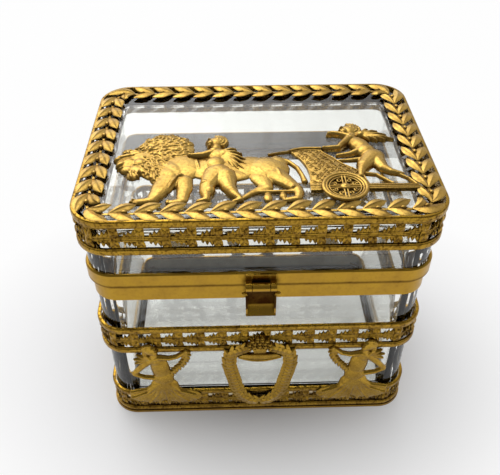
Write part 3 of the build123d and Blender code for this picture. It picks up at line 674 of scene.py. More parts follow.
def pattern_repeat(web_height, growth):
    """Post, ribbon and foliage of one repeat, centred on the origin, face towards +Z. The
    growth says how much of the room above and below the ribbon the foliage fills."""
    web_half = web_height / 2
    post_place = repeat_pitch / 2 - post_width / 2
    outline = [(post_place + x, y * (web_half + 0.2)) for x, y in post_teeth]
    parts = [plate(outline, sheet_thickness, 0.15)]
    leaf = blade(web_half * 0.9, 1.7, 0.3, 0.4, 0.25, rows=4, columns=2)
    for way in (1, -1):
        for lean in (-0.35, 0.35):
            parts.append(copy_of(leaf, Matrix.Translation((post_place, way * 0.3, 0.3))
                                 @ Matrix.Rotation(way * pi / 2 + lean, 4, "Z")))
    bpy.data.objects.remove(leaf)
    ribbon_height = ribbon_high - ribbon_low
    for share in (0.17, 0.5, 0.83):
        parts.append(block((0, ribbon_low + share * ribbon_height, sheet_thickness / 2 + 0.1),
                           (repeat_pitch + 0.02, ribbon_height * 0.29, sheet_thickness), 0.18))
    parts.append(block((0, (ribbon_low + ribbon_high) / 2, sheet_thickness / 2 - 0.1),
                       (repeat_pitch + 0.02, ribbon_height, sheet_thickness), 0))
    for way, start, room in ((1, ribbon_high, web_half - ribbon_high), (-1, ribbon_low, web_half + ribbon_low)):
        stretch = room * growth[way > 0] / 3.5
        parts.append(plate([(x, start + way * stretch * y) for x, y in foliage[::way]], sheet_thickness * 0.8, 0.12))
        for x, length in veins:
            vein = blade(length * stretch + 0.5, 0.8, 0.15, 0.25, 0.2, rows=3, columns=2)
            vein.data.transform(Matrix.Translation((x - 0.2, start - way * 0.3, 0.42))
                                @ Matrix.Rotation(way * radians(82), 4, "Z"))
            parts.append(vein)
    return joined(parts, "repeat")


# %% A whole gallery: rims, bead lines and the wrapped strip
rim_wall = 1.3
web_recess = 0.6


def gallery(name, node, body, half, corner, growth, rims, moved):
    """Dresses a gallery node. The rims are the heights of the lower and the upper one, and
    `moved` says how far the lower and upper edges lie above the node's own."""
    low, high = (corner_point / MM for corner_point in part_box(node))
    reach = high.x - half[0]
    bottom, top = low.z + moved[0], high.z + moved[1]
    bottom_rim, top_rim = rims
    web_height = top - bottom - top_rim - bottom_rim
    sheet_back = reach - web_recess - sheet_thickness
    ring = (half[0] + sheet_back, half[1] + sheet_back, corner + sheet_back)
    count = round(ring_length(*ring) / repeat_pitch)
    strip = pattern_repeat(web_height, growth)
    strip.data.transform(Matrix.Scale(ring_length(*ring) / count / repeat_pitch, 4, (1, 0, 0)))
    modify(strip, "ARRAY", count=count, use_relative_offset=False, use_constant_offset=True,
           constant_offset_displace=(ring_length(*ring) / count, 0, 0))
    strip.data.transform(Matrix.Translation((0, bottom + bottom_rim + web_height / 2, 0)))
    wrap_round(strip, ring, upright=True)
    bands = [ring_band(bottom, bottom_rim, half, corner, reach, rim_wall, 0.6),
             ring_band(top - top_rim, top_rim, half, corner, reach, rim_wall, 0.6),
             ring_band(bottom + bottom_rim - 0.15, 0.5, half, corner, reach - 0.2, 1.0, 0.18, 2),
             ring_band(top - top_rim - 0.35, 0.5, half, corner, reach - 0.2, 1.0, 0.18, 2)]
    settle(joined(bands + [strip], name), box_frame, body, [node], gilt_gallery)
    return bottom, top, sheet_back


gallery("lid_openwork", "lid_gallery", "lid", lid_half, lid_corner, (1.0, 0.85), rims=(2.8, 2.9), moved=(0.5, 1.3))
gallery("waist_openwork", "waist_gallery", "casket", body_half, body_corner, (1.0, 0.85), rims=(2.7, 2.7),
        moved=(-1.9, -1.9))
base = gallery("base_openwork", "base_gallery", "casket", body_half, body_corner, (1.5, 1.2), rims=(2.5, 2.3),
               moved=(0.0, -1.1))

# %% A pale band behind the openwork at the foot: painted light showing through its windows
light_band_wall = 0.3
light_band_low, light_band_high, light_band_out = base[0] + 1, base[1] - 1, base[2]
light_band = ring_band(light_band_low, light_band_high - light_band_low, body_half, body_corner, light_band_out, light_band_wall, 0.05)
settle(joined([light_band], "base_painted_light_band"), box_frame, "casket", [], gilt_painted_light)

# %% [markdown]
# ## Clay
# The figures are sculpture, so they are built up as a modeller would: balls and tapered
# bars of clay are pressed together, Remesh fuses them into one skin, Smooth takes the seams
# out, and a bisect slices the back flat where the relief meets its ground. Every lump is
# centred on the ground, so its height is how far it stands out.

# %% Balls, limbs and wires
bpy.ops.mesh.primitive_uv_sphere_add(segments=16, ring_count=10, radius=1)
round_lump = bpy.context.object
bpy.ops.mesh.primitive_cone_add(vertices=16, radius1=1, radius2=1, depth=1)
round_bar = bpy.context.object


def ball(x, y, long, wide, high, turn=0.0, lift=0.0):
    """A stretched ball of clay; `turn` is in degrees."""
    return copy_of(round_lump, Matrix.Translation((x, y, lift)) @ Matrix.Rotation(radians(turn), 4, "Z")
                   @ Matrix.Diagonal((long, wide, high, 1)))


def limb(*stations):
    """Tapered bars through stations of (x, y, radius, height)."""
    parts = []
    for (x0, y0, r0, h0), (x1, y1, r1, h1) in zip(stations, stations[1:]):
        length = hypot(x1 - x0, y1 - y0)
        bar = copy_of(round_bar, Matrix.Diagonal((1, 1, length, 1)))
        for vertex in bar.data.vertices:
            end = vertex.co.z > 0
            vertex.co.x *= h1 if end else h0
            vertex.co.y *= r1 if end else r0
        heading = atan2(y1 - y0, x1 - x0)
        bar.data.transform(Matrix.Translation(((x0 + x1) / 2, (y0 + y1) / 2, 0))
                           @ Matrix.Rotation(heading, 4, "Z") @ Matrix.Rotation(pi / 2, 4, "Y"))
        parts.append(bar)
    parts.extend(ball(x, y, r, r, h) for x, y, r, h in stations)
    return parts


def wire(points, radius, lift):
    """A round wire through the points, laid at this height; a point may add its own."""
    line = bpy.data.curves.new("wire", "CURVE")
    line.dimensions = "3D"
    line.bevel_depth = radius
    line.bevel_resolution = 2
    line.use_fill_caps = True
    line.resolution_u = 3
    spline = line.splines.new("NURBS")
    spline.points.add(len(points) - 1)
    for control, (x, y, *extra) in zip(spline.points, points):
        control.co = (x, y, lift + sum(extra), 1)
    spline.order_u = 3
    spline.use_endpoint_u = True
    holder = bpy.data.objects.new("wire", line)
    bpy.context.scene.collection.objects.link(holder)
    only(holder)
    bpy.ops.object.convert(target="MESH")
    return bpy.context.object


def volute(x, y, radius, start, turns, way=1, rate=10):
    """Points of a spiral that winds in to its centre."""
    count = max(6, round(abs(turns) * rate))
    shares = [step / count for step in range(count + 1)]
    return [(x + radius * (1 - 0.85 * share) * cos(radians(start) + way * 2 * pi * turns * share),
             y + radius * (1 - 0.85 * share) * sin(radians(start) + way * 2 * pi * turns * share))
            for share in shares]


def sliced(parts):
    """Slices each part that sinks into the ground flat where it meets the ground."""
    for part in parts:
        if min(vertex.co.z for vertex in part.data.vertices) < 0:
            only(part)
            bpy.ops.object.mode_set(mode="EDIT")
            bpy.ops.mesh.select_all(action="SELECT")
            bpy.ops.mesh.bisect(plane_co=(0, 0, 0.02), plane_no=(0, 0, 1), use_fill=True, clear_inner=True)
            bpy.ops.object.mode_set(mode="OBJECT")
    return parts


def fused(parts, name, voxel, smoothing):
    """Fuses clay parts into one skin with a flat back."""
    clay = joined(parts, name)
    modify(clay, "REMESH", mode="VOXEL", voxel_size=voxel)
    modify(clay, "SMOOTH", factor=0.5, iterations=smoothing)
    return sliced([clay])[0]


# %% [markdown]
# ## The lion
# It walks to the left with its head low, a mane of small tight curls from the brow to the
# chest, and a smooth muscled body. The body is a dozen balls and limbs. The mane is a dome
# covered with short wavy strands of wire, set in rings that open out from the face, each
# ring starting beside the ends of the one before.

# %% Body, legs and tail
lion = [
    ball(-30.0, -15.6, 9.0, 9.4, 2.1), ball(-16.0, -16.4, 13.0, 8.4, 1.8),
    ball(-3.5, -15.8, 9.0, 7.2, 1.8), ball(3.6, -17.6, 8.8, 8.2, 2.5, -20),
    ball(7.2, -13.6, 4.6, 4.4, 2.0), ball(-33.5, -18.5, 6.0, 7.4, 2.4, 15),
    ball(-12.0, -21.5, 10.0, 4.4, 1.5, 3), ball(-34.6, -21.0, 5.4, 4.8, 2.5, -60),
]
lion += limb((6.4, -22.0, 5.0, 2.4), (11.0, -27.6, 3.3, 2.1), (14.0, -31.6, 2.3, 1.8), (14.4, -33.6, 2.0, 1.8),
             (13.9, -36.4, 1.8, 1.7))
lion += limb((13.4, -37.2, 1.7, 1.7), (9.9, -37.8, 1.4, 1.5))
lion += limb((1.0, -23.4, 4.6, 1.7), (2.6, -29.6, 2.7, 1.5), (-3.2, -33.2, 1.4, 1.2), (-6.4, -36.2, 1.1, 1.1))
lion += limb((-34.6, -24.0, 4.9, 2.3), (-36.6, -29.6, 4.2, 2.2), (-38.2, -33.4, 3.1, 2.0), (-39.6, -36.4, 2.4, 1.9))
lion += limb((-40.4, -37.2, 2.0, 1.9), (-44.8, -37.7, 1.7, 1.6))
lion += limb((-28.6, -24.6, 3.7, 1.8), (-28.0, -29.4, 3.2, 1.6), (-28.4, -33.4, 2.6, 1.5), (-28.6, -36.4, 2.3, 1.4))
lion += limb((-29.2, -37.5, 1.8, 1.4), (-32.4, -38.0, 1.4, 1.2))
lion += [ball(x, y, 1.1, 0.6, high, turn) for x, y, high, turn in
         ((-46.2, -36.9, 1.8, 20), (-46.8, -38.0, 1.7, 0), (-45.4, -38.9, 1.6, -20), (-33.6, -37.5, 1.4, 20),
          (-33.6, -38.6, 1.3, -20), (8.8, -37.3, 1.6, 20), (8.8, -38.4, 1.5, -20))]
lion += limb((7.0, -10.8, 1.4, 1.6), (12.0, -13.2, 1.1, 1.4), (15.2, -17.6, 1.0, 1.3), (16.6, -22.5, 1.0, 1.3),
             (17.2, -26.4, 1.3, 1.4))
lion += [ball(-23.5, -15.0, 0.9, 5.6, 2.0, 12), ball(-20.0, -15.6, 0.9, 5.2, 1.95, 10),
         ball(0.6, -20.0, 1.2, 6.6, 2.3, 28), ball(7.6, -21.8, 1.4, 5.6, 2.6, 14),
         ball(-32.0, -26.0, 0.7, 6.4, 2.6, -22), ball(-29.8, -22.8, 1.5, 1.3, 2.7), ball(12.6, -31.0, 1.3, 1.0, 2.3)]
lion += limb((-0.6, -32.6, 0.9, 1.2), (12.0, -32.6, 0.8, 1.2))
lion += [ball(2.8, -35.8, 1.8, 2.8, 1.2), ball(8.4, -35.0, 1.5, 2.2, 1.1)]

# %% Head and mane
lion += [
    ball(-46.0, -9.4, 6.4, 6.0, 2.2), ball(-50.6, -12.8, 5.2, 4.6, 2.1, 20), ball(-55.0, -11.0, 1.8, 1.5, 2.3, 30),
    ball(-48.2, -6.8, 2.6, 1.0, 2.8, 25), ball(-48.9, -9.0, 0.9, 0.55, 2.7, 20), ball(-46.2, -13.4, 3.2, 3.0, 2.6),
    ball(-53.2, -14.4, 2.6, 1.6, 2.4, 30), ball(-50.4, -17.6, 3.2, 2.6, 2.1, 10), ball(-42.6, -4.6, 1.5, 2.4, 3.0, -20),
    ball(-47.0, -17.6, 4.2, 3.6, 2.0, -20), ball(-52.4, -17.2, 2.6, 0.5, 2.3, 15),
]
lion += limb((-47.0, -7.4, 1.5, 2.5), (-54.4, -10.0, 1.3, 2.4))
lion += [ball(x, y, 1.5, 0.7, high, turn) for x, y, high, turn in
         ((-52.6, -6.6, 1.9, 35), (-50.6, -5.0, 2.2, 25), (-48.0, -4.2, 2.4, 10), (-45.6, -5.8, 2.7, 40),
          (-51.6, -8.4, 2.4, 15), (-44.4, -10.6, 2.7, -35), (-43.6, -13.6, 2.6, -50), (-44.6, -16.4, 2.5, -40),
          (-47.6, -15.6, 2.5, -20), (-50.0, -19.4, 2.2, -60), (-47.6, -20.0, 2.3, -75), (-48.4, -22.6, 2.0, -70),
          (-45.8, -19.6, 2.3, -55), (-46.2, -22.0, 2.0, -60), (-52.2, -12.4, 2.4, 25), (-49.6, -12.2, 2.5, -15))]
face_centre = (-47.6, -9.6)
mane_domes = ((-36.6, -3.2, 11.6, 11.6, 2.0), (-39.6, -14.6, 7.4, 9.6, 2.0), (-39.0, -20.6, 3.0, 6.4, 1.9),
              (-50.0, -5.6, 4.2, 2.6, 1.7), (-48.0, -20.6, 2.8, 3.4, 1.6))
lion += [ball(*dome) for dome in mane_domes]
strand_spacing = 1.6
strand_length = 3.9
strand_wave = 0.6
ring_gap = 2.3


def mane_height(x, y):
    """How high the mane's domes stand here, or 0 off the mane."""
    heights = [0.0]
    for dome_x, dome_y, long, wide, high in mane_domes:
        share = ((x - dome_x) / long) ** 2 + ((y - dome_y) / wide) ** 2
        if share < 1:
            heights.append(high * (1 - share) ** 0.5)
    return max(heights)


mane_chance = Random(11)
strands = 0
for ring in range(11):
    start = 4.2 + ring * ring_gap
    steps = round(2 * pi * start / strand_spacing)
    for step in range(steps):
        bearing = 2 * pi * (step + 0.5 * (ring % 2)) / steps + mane_chance.uniform(-0.03, 0.03)
        bend = mane_chance.uniform(-0.5, 0.5)
        phase = mane_chance.uniform(0, 2 * pi)
        path = []
        for share in (0, 0.2, 0.4, 0.6, 0.8, 1):
            reach = start + share * strand_length
            side = strand_wave * sin(phase + 2 * pi * 1.1 * share) + bend * share * strand_length * 0.5
            x = face_centre[0] + reach * cos(bearing) - side * sin(bearing)
            y = face_centre[1] + reach * sin(bearing) + side * cos(bearing)
            path.append((x, y, 0.92 * mane_height(x, y) + 0.35 - 0.4 * share))
        x, y, height = path[-2]
        if height > 0.55 and not (x < -45.5 and -14.5 < y < -6.5):
            lion.append(wire(path, 0.48, 0.0))
            strands += 1
print("mane:", strands, "strands")
lion_piece = fused(lion, "lion", voxel=0.25, smoothing=1)
settle(lion_piece, lid_face, "lid", ["relief_lion"], gilt_relief)

# %% [markdown]
# ## Two winged children
# One walks beside the lion with a hand in its mane, the other leans out of the chariot.
# They are the plump, curly-headed children of every stamped mount of the period. A head
# has a brow, nose, cheek, chin and eye of its own plain design, and a cap of curls; a wing
# is a fan of feathers that share one root.

# %% Heads and wings
def child_head(x, y, size, way, height):
    """A small round head in profile; way is -1 for one that looks left."""
    parts = [ball(x, y, size, 1.08 * size, height),
             ball(x + way * 0.55 * size, y - 0.35 * size, 0.5 * size, 0.5 * size, height * 1.06),
             ball(x + way * 0.98 * size, y - 0.16 * size, 0.2 * size, 0.16 * size, height * 0.95),
             ball(x + way * 0.7 * size, y - 0.84 * size, 0.3 * size, 0.26 * size, height * 0.92),
             ball(x + way * 0.72 * size, y + 0.3 * size, 0.3 * size, 0.16 * size, height * 1.03),
             ball(x + way * 0.66 * size, y + 0.04 * size, 0.13 * size, 0.09 * size, height * 1.12),
             ball(x + way * 0.88 * size, y - 0.52 * size, 0.13 * size, 0.08 * size, height)]
    parts.append(ball(x - way * 0.22 * size, y + 0.22 * size, size, 0.98 * size, height * 0.95))
    for row, (reach, count) in enumerate(((1.02, 10), (0.72, 7), (0.4, 5), (0.1, 1))):
        for step in range(count):
            bearing = radians(105 - 175 * (step + 0.25) / count)
            if way > 0:
                bearing = pi - bearing
            parts.append(ball(x + size * (reach * cos(bearing) - way * 0.18), y + size * (reach * sin(bearing) + 0.18),
                              0.26 * size, 0.2 * size, height * (0.7 + 0.13 * row), degrees(bearing) + 40))
    return parts


def wing(root, tips, width, height):
    """Feathers from one root to each tip, the first lying on top."""
    parts = []
    for number, (x, y) in enumerate(tips):
        high = height - 0.12 * number
        parts += limb((root[0], root[1], width, high), ((root[0] + 2 * x) / 3, (root[1] + 2 * y) / 3, width * 0.95, high),
                      (x, y, width * 0.45, high * 0.72))
    return parts


# %% The child who walks beside the lion
walker = child_head(-16.6, 0.5, 3.7, -1, 2.8)
walker += [ball(-16.4, -3.8, 2.3, 2.4, 2.6), ball(-15.8, -8.2, 4.6, 4.8, 2.7, 5), ball(-16.6, -14.2, 4.8, 4.8, 2.8),
           ball(-15.6, -19.6, 5.6, 4.8, 2.9), ball(-12.9, -22.0, 4.6, 4.6, 3.05), ball(-17.4, -6.3, 2.7, 2.2, 3.0)]
walker += limb((-18.4, -7.4, 2.1, 2.9), (-22.0, -9.0, 1.8, 2.8), (-25.8, -9.4, 1.3, 2.7))
walker += [ball(-26.8, -9.2, 1.5, 1.2, 2.7)]
walker += limb((-16.6, -20.6, 5.2, 2.9), (-19.4, -28.0, 3.4, 2.8), (-20.0, -32.0, 2.7, 2.5), (-19.6, -36.6, 1.7, 2.3))
walker += [ball(-18.9, -31.6, 2.6, 3.4, 2.6, -4), ball(-20.4, -28.0, 2.2, 1.9, 3.0)]
walker += limb((-19.7, -37.4, 1.6, 2.2), (-22.6, -38.2, 1.1, 1.7))
walker += limb((-12.8, -23.6, 4.8, 2.8), (-11.6, -29.4, 3.2, 2.6), (-9.6, -34.0, 2.2, 2.3), (-7.6, -36.8, 1.5, 2.0))
walker += limb((-7.2, -37.6, 1.3, 1.9), (-9.8, -38.4, 1.0, 1.5))
walker += [ball(-10.8, -31.6, 2.4, 3.2, 2.6, 28), ball(-13.4, -8.4, 2.6, 2.8, 3.0)]
walker += wing((-14.2, -7.8), ((-8.6, -5.4), (-6.4, -8.6), (-5.0, -12.4), (-4.6, -16.0), (-5.6, -19.0), (-7.8, -18.8),
                               (-9.8, -17.6), (-11.8, -16.0), (-13.4, -14.0)), 1.05, 3.1)
walker_piece = fused(walker, "walking_child", voxel=0.24, smoothing=2)
settle(walker_piece, lid_face, "lid", ["relief_walker"], gilt_relief)

# %% The child in the chariot
rider = child_head(38.7, 8.2, 4.0, -1, 2.8)
rider += [ball(39.4, 3.8, 2.1, 2.3, 2.6), ball(41.6, -2.2, 6.4, 4.2, 2.8, -62), ball(43.4, -6.4, 4.4, 4.4, 2.9),
          ball(45.8, -10.6, 5.0, 4.9, 3.0), ball(38.4, 1.8, 2.4, 2.1, 3.0)]
rider += limb((38.2, 3.2, 1.7, 2.8), (34.6, 5.2, 1.4, 2.6), (31.0, 6.2, 1.1, 2.4))
rider += [ball(30.2, 5.6, 1.3, 1.2, 2.5)]
rider += limb((37.4, 1.2, 2.1, 3.0), (33.6, -3.4, 1.5, 2.7), (32.8, -4.8, 1.4, 2.6), (27.6, -5.0, 1.1, 2.3))
rider += [ball(26.8, -5.0, 1.3, 1.1, 2.4)]
rider += limb((41.4, -6.2, 1.8, 2.4), (36.8, -8.6, 1.3, 1.8), (31.8, -9.6, 0.9, 1.5))
rider += limb((41.0, -12.4, 1.3, 1.7), (35.6, -13.0, 1.0, 1.4), (31.4, -13.2, 0.7, 1.2))
rider += limb((45.0, -11.6, 4.6, 3.0), (41.3, -16.6, 3.2, 2.9), (39.6, -20.6, 2.1, 2.6), (38.8, -23.6, 1.5, 2.4))
rider += limb((38.8, -24.4, 1.4, 2.3), (35.8, -25.2, 1.0, 2.1))
rider += limb((46.8, -13.4, 3.7, 2.7), (48.2, -18.6, 2.6, 2.5), (50.8, -21.4, 1.8, 2.2), (54.8, -23.0, 1.1, 1.7))
rider += [ball(43.2, 4.6, 2.2, 2.0, 2.8)]
rider += wing((43.0, 4.8), ((46.6, 8.2), (50.4, 6.8), (53.6, 4.2), (56.2, 1.0), (52.8, 0.6), (49.4, 0.5),
                            (46.2, 0.8)), 0.95, 2.9)
rider_piece = fused(rider, "riding_child", voxel=0.24, smoothing=2)
settle(rider_piece, lid_face, "lid", ["relief_rider"], gilt_relief)

# %% [markdown]
# ## The chariot and its wheel
# The chariot is sheet metal, not flesh, so it is cut from flat plates: a flared panel with
# a rolled lip and a long footboard with ribs along it. Volutes of half-sunk wire stand for
# the chased scrollwork. The wheel is a ring with a bead inside it, a domed hub, and spokes
# that end in little scrolls.

# %% Chariot
panel_outline = ((13.2, -7.2), (14.2, -5.4), (25.0, -5.2), (26.2, -8.0), (30.0, -11.6), (32.2, -15.4), (36.0, -18.6),
                 (40.2, -22.6), (40.8, -27.0), (41.6, -29.6), (18.6, -29.6), (19.4, -24.0), (18.6, -17.6),
                 (16.6, -12.0))
footboard_outline = ((18.8, -29.0), (59.2, -29.8), (61.0, -33.0), (18.8, -33.2))
scroll_gap = (3.1, 2.5)
scroll_radius = 1.25
wheel_centre = Vector((31.6, -32.0, 0))
wheel_reach = 9.0


def inside(x, y, points):
    """Whether the outline goes round this point."""
    crossings = sum((y0 > y) != (y1 > y) and x < x0 + (y - y0) / (y1 - y0) * (x1 - x0)
                    for (x0, y0), (x1, y1) in zip(points, points[1:] + points[:1]))
    return crossings % 2 == 1


panel_height = 1.3
chariot = [plate(panel_outline, panel_height, 0.3), plate(footboard_outline, 1.5, 0.3)]
inset_border = [(x * 0.955 + 26.0 * 0.045, y * 0.93 - 17.5 * 0.07) for x, y in panel_outline]
chariot.append(wire(inset_border + inset_border[:1], 0.26, panel_height))
scroll_area = [(x * 0.9 + 26.0 * 0.1, y * 0.88 - 17.5 * 0.12) for x, y in panel_outline]
for row in range(10):
    for column in range(10):
        x = 14.4 + scroll_gap[0] * (column + 0.5 * (row % 2))
        y = -7.6 - scroll_gap[1] * row
        if inside(x, y, scroll_area) and hypot(x - wheel_centre.x, y - wheel_centre.y) > wheel_reach:
            way = 1 if (row + column) % 2 else -1
            chariot.append(wire(volute(x, y, scroll_radius, 40 + 70 * column + 110 * row, 1.2, way), 0.22,
                                panel_height + 0.05))
            chariot.append(ball(x + 1.5, y + 0.9 * way, 0.85, 0.3, 0.3, 50 * way, panel_height))
chariot.append(wire(((13.0, -6.6), (16.5, -5.0), (21.0, -4.9), (25.6, -5.0)), 0.6, panel_height))
for y in (-30.3, -31.5, -32.6):
    chariot.append(wire(((19.0, y), (40.0, y - 0.1), (59.6, y - 0.2)), 0.24, 1.5))
chariot += limb((4.6, -8.2, 0.6, 1.2), (9.0, -7.0, 0.6, 1.2), (13.8, -6.2, 0.7, 1.3))
chariot += limb((40.2, -22.0, 1.0, 1.5), (45.0, -23.0, 0.8, 1.3), (50.2, -28.8, 0.8, 1.3))
chariot += limb((53.6, -23.0, 0.8, 1.4), (57.0, -26.0, 0.7, 1.3), (59.4, -30.4, 0.8, 1.3))
chariot_piece = joined(sliced(chariot), "chariot")
settle(chariot_piece, lid_face, "lid", ["relief_chariot"], gilt_relief)

# %% Wheel
wheel = []
for radius, wire_radius, lift in ((8.05, 0.85, 1.9), (7.0, 0.55, 1.9), (5.9, 0.34, 1.9)):
    bpy.ops.mesh.primitive_torus_add(major_segments=48, minor_segments=10, major_radius=radius, minor_radius=wire_radius,
                                     location=wheel_centre + Vector((0, 0, lift)))
    wheel.append(bpy.context.object)
wheel.append(ball(wheel_centre.x, wheel_centre.y, 2.0, 2.0, 1.0, 0, 1.9))
wheel.append(ball(wheel_centre.x, wheel_centre.y, 1.0, 1.0, 0.7, 0, 2.4))
for quarter in range(4):
    turn = quarter * pi / 2
    for spread in (-0.075, 0.075):
        reach = [(wheel_centre.x + r * cos(turn + spread * 4 / r * 2), wheel_centre.y + r * sin(turn + spread * 4 / r * 2))
                 for r in (1.6, 3.0, 4.6, 6.6)]
        wheel.append(wire(reach, 0.36, 1.9))
    for way in (1, -1):
        bearing = turn + way * 0.42
        wheel.append(wire(volute(wheel_centre.x + 4.1 * cos(bearing), wheel_centre.y + 4.1 * sin(bearing), 1.15,
                                 degrees(turn), 1.1, way), 0.28, 1.85))
wheel_piece = joined(wheel, "wheel")
settle(wheel_piece, lid_face, "lid", ["relief_wheel"], gilt_relief)

# %% [markdown]
# ## Wreaths and kneeling figures
# The front and back walls carry the same three mounts: a laurel wreath that rises into a
# small basket of flowers, and on each side a kneeling figure with a bow and a strand of
# leaves, the right one a mirror of the left. The wreath reuses the leaf; the figures are
# clay again. Each is modelled once and laid on both walls.

# %% The wreath
branch_points = ((0.0, 8.6), (-3.8, 9.6), (-6.8, 12.0), (-8.7, 15.2), (-10.0, 19.4), (-11.6, 27.0),
                 (-12.8, 33.4), (-13.0, 38.0), (-12.4, 41.6), (-10.2, 44.2), (-7.0, 45.6))
leaf_gap = 2.1
leaf_spread = radians(42)


def along(points, spacing):
    """Points and headings every `spacing` along a run of straight pieces."""
    places = []
    left = 0.0
    for (x0, y0), (x1, y1) in zip(points, points[1:]):
        length = hypot(x1 - x0, y1 - y0)
        while left <= length:
            share = left / length
            places.append((x0 + share * (x1 - x0), y0 + share * (y1 - y0), atan2(y1 - y0, x1 - x0)))
            left += spacing
        left -= length
    return places


wreath = []
small_leaf = blade(4.9, 2.9, 0.35, 0.6, 0.4, rows=5, columns=2)
for way in (1, -1):
    branch = [(way * x, y) for x, y in branch_points]
    wreath += limb(*[(x, y, 1.3, 0.8) for x, y in branch])
    for x, y, heading in along(branch, leaf_gap):
        for side, lift in ((1, 0.35), (-1, 0.35), (0, 0.85)):
            placed = (Matrix.Translation((x, y, lift)) @ Matrix.Rotation(heading + side * leaf_spread, 4, "Z")
                      @ Matrix.Rotation(side * 0.2, 4, "X"))
            wreath.append(copy_of(small_leaf, placed))
bpy.data.objects.remove(small_leaf)

# %% The basket of flowers and the ribbon at the foot
wreath.append(plate(((-9.6, 40.6), (-5.2, 38.2), (0.0, 37.4), (5.2, 38.2), (9.6, 40.6), (7.0, 42.2), (-7.0, 42.2)), 1.5, 0.4))
wreath.append(wire(((-9.0, 40.4), (-5.0, 38.6), (0.0, 37.9), (5.0, 38.6), (9.0, 40.4)), 0.5, 1.3))
wreath.append(wire(((-7.0, 42.0), (0.0, 41.2), (7.0, 42.0)), 0.45, 1.4))
wreath.append(plate(((-2.2, 41.6), (2.2, 41.6), (3.6, 46.4), (-3.6, 46.4)), 1.2, 0.3))
for way in (1, -1):
    wreath += limb((way * 6.6, 41.8, 0.7, 1.3), (way * 6.2, 46.6, 0.8, 1.3))
wreath += limb((-6.4, 46.6, 0.8, 1.5), (0.0, 46.0, 0.8, 1.6), (6.4, 46.6, 0.8, 1.5))
flower_rows = ((47.0, 5, 2.35, 1.35), (49.0, 5, 2.15, 1.3), (50.8, 4, 2.0, 1.2), (52.3, 2, 1.9, 1.05))
for y, count, spacing, size in flower_rows:
    for number in range(count):
        x = (number - (count - 1) / 2) * spacing
        wreath.append(ball(x, y - 0.05 * x * x, size, size, 1.9))
        for petal in range(5):
            turn = 2 * pi * petal / 5
            wreath.append(ball(x + 0.75 * size * cos(turn), y - 0.05 * x * x + 0.75 * size * sin(turn),
                               0.42 * size, 0.42 * size, 2.05))
wreath += [ball(0, 8.8, 1.6, 1.3, 1.5), ball(-2.6, 7.8, 2.2, 0.9, 1.2, 20), ball(2.6, 7.8, 2.2, 0.9, 1.2, -20)]
wreath_piece = joined(sliced(wreath), "wreath")

# %% The kneeling figure
figure = child_head(-46.0, 45.2, 2.8, 1, 1.9)
figure += [ball(-45.0, 41.6, 2.0, 2.2, 1.6), ball(-42.9, 33.0, 4.2, 9.6, 1.9, 6), ball(-44.4, 38.4, 3.4, 3.2, 1.9),
           ball(-42.0, 26.0, 4.6, 6.4, 1.95), ball(-42.0, 20.6, 6.4, 6.0, 1.8), ball(-44.6, 40.2, 2.4, 2.0, 2.0),
           ball(-48.2, 13.8, 10.4, 5.6, 1.3, 6), ball(-36.0, 13.2, 10.4, 5.4, 1.3, -8)]
figure += limb((-43.2, 40.6, 1.7, 1.8), (-38.6, 40.0, 1.3, 1.6), (-35.0, 41.0, 1.2, 1.5), (-32.4, 43.2, 1.1, 1.4))
figure += limb((-45.8, 39.6, 1.8, 1.9), (-50.6, 34.6, 1.5, 1.7), (-54.4, 30.0, 1.2, 1.4))
figure += limb((-54.4, 29.6, 1.2, 1.4), (-50.6, 27.4, 1.2, 1.4), (-46.0, 26.6, 1.4, 1.5))
figure += wing((-46.8, 40.0), ((-49.4, 43.6), (-52.0, 42.4), (-53.4, 39.6), (-53.2, 36.8), (-51.2, 35.2),
                               (-48.6, 35.4)), 1.0, 1.7)
folds = ((-57.2, 16.4), (-57.0, 12.8), (-53.6, 10.4), (-49.6, 9.0), (-45.2, 8.4), (-40.8, 8.2), (-36.4, 8.8),
         (-32.0, 9.6), (-28.0, 11.0), (-28.8, 14.0))
for number, (x, y) in enumerate(folds):
    proud = 0.35 * (number % 2)
    figure += limb((-42.0 + 0.16 * (x + 42), 23.0, 1.8, 1.8), ((x - 42) / 2, (y + 21) / 2, 1.0, 1.45 + proud),
                   (x, y, 0.9, 1.1 + proud))
strand = ((-31.2, 44.6), (-31.0, 41.0), (-32.4, 37.4), (-34.4, 34.2), (-36.8, 31.8), (-38.6, 29.2))
figure += limb(*[(x, y, 0.8, 1.1) for x, y in strand])
for x, y, heading in along(strand, 1.9):
    figure += [ball(x + 1.1 * cos(heading + way), y + 1.1 * sin(heading + way), 1.5, 0.6, 1.3,
                    degrees(heading) + 45 * way) for way in (1, -1)]
figure_piece = fused(figure, "kneeling_figure", voxel=0.24, smoothing=3)

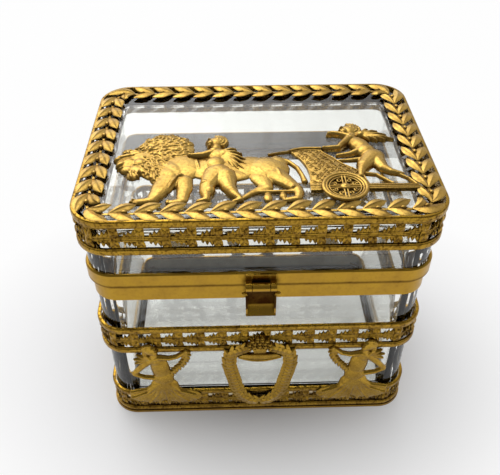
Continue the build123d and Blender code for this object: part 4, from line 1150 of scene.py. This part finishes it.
# %% Both walls get all three
mirrored = Matrix.Diagonal((-1, 1, 1, 1))
for side, wall in (("front", front_face), ("back", back_face)):
    settle(copy_of(wreath_piece, Matrix()), wall, "casket", [f"{side}_wreath"], gilt_wall)
    settle(copy_of(figure_piece, Matrix()), wall, "casket", [f"{side}_figure_left"], gilt_wall)
    settle(copy_of(figure_piece, Matrix()), wall @ mirrored, "casket", [f"{side}_figure_right"], gilt_wall)
for pattern in (wreath_piece, figure_piece, round_bar):
    bpy.data.objects.remove(pattern)

# %% [markdown]
# ## The hasp's cheeks
# The hasp is a tongue that bows in towards the box, with a thin cheek along each side that
# fills the bow, and a small ear by which it is lifted at the top of each cheek. The tongue
# comes from the frame; the cheeks are cut to the same curve.

# %% Cheeks
hasp_low, hasp_high = (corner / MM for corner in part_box("clasp_hasp"))
cheek_thickness = 0.7
bow_depth = 3.0
cheek_rows = 9
ear_height = 81.2
cheek = []
for number in range(cheek_rows + 1):
    share = number / cheek_rows
    cheek.append((hasp_low.z + 0.6 + share * 11.4, 4 * share * (1 - share)))
tongue_front = hasp_low.y + 1.75
outline = [(tongue_front + bow_depth * bow, height) for height, bow in cheek]
outline += [(tongue_front - 0.5 * bow, height) for height, bow in cheek[-2:0:-1]]
side_face = to_metres @ Matrix(((0, 0, 1, 0), (1, 0, 0, 0), (0, 1, 0, 0), (0, 0, 0, 1)))
cheeks = []
for place in (hasp_low.x + 0.02, hasp_high.x - 0.02 - cheek_thickness):
    cheeks.append(plate(outline[::-1], cheek_thickness, 0.12, ground=place))
    ear = place + (-0.5 if place < 0 else cheek_thickness + 0.5)
    cheeks.append(ball(hasp_low.y + 1.3, ear_height, 0.8, 0.7, 1.1, 0, ear))
bpy.data.objects.remove(round_lump)
cheek_piece = joined(cheeks, "hasp_cheeks")
settle(cheek_piece, side_face, "hasp", [], gilt_tongue)

# %% Finishes for the nodes that stay as they are
node_finish = {
    "body_glass": clear_glass, "lid_glass": clear_glass,
    "body_collar": gilt_collar, "lid_collar": gilt_collar, "foot_frame": gilt_collar,
    "hinge_leaf_body": gilt_fitting, "hinge_leaf_lid": gilt_fitting, "hinge_pin": gilt_fitting,
    "clasp_plate": gilt_fitting, "clasp_hasp": gilt_tongue, "clasp_pin": gilt_fitting,
    "clasp_keeper": gilt_fitting,
}
for name, node in nodes.items():
    material = node_finish.get(name, gilt_relief)
    for holder in node.material_slots:
        holder.material = material
    if not node.material_slots:
        node.data.materials.append(material)
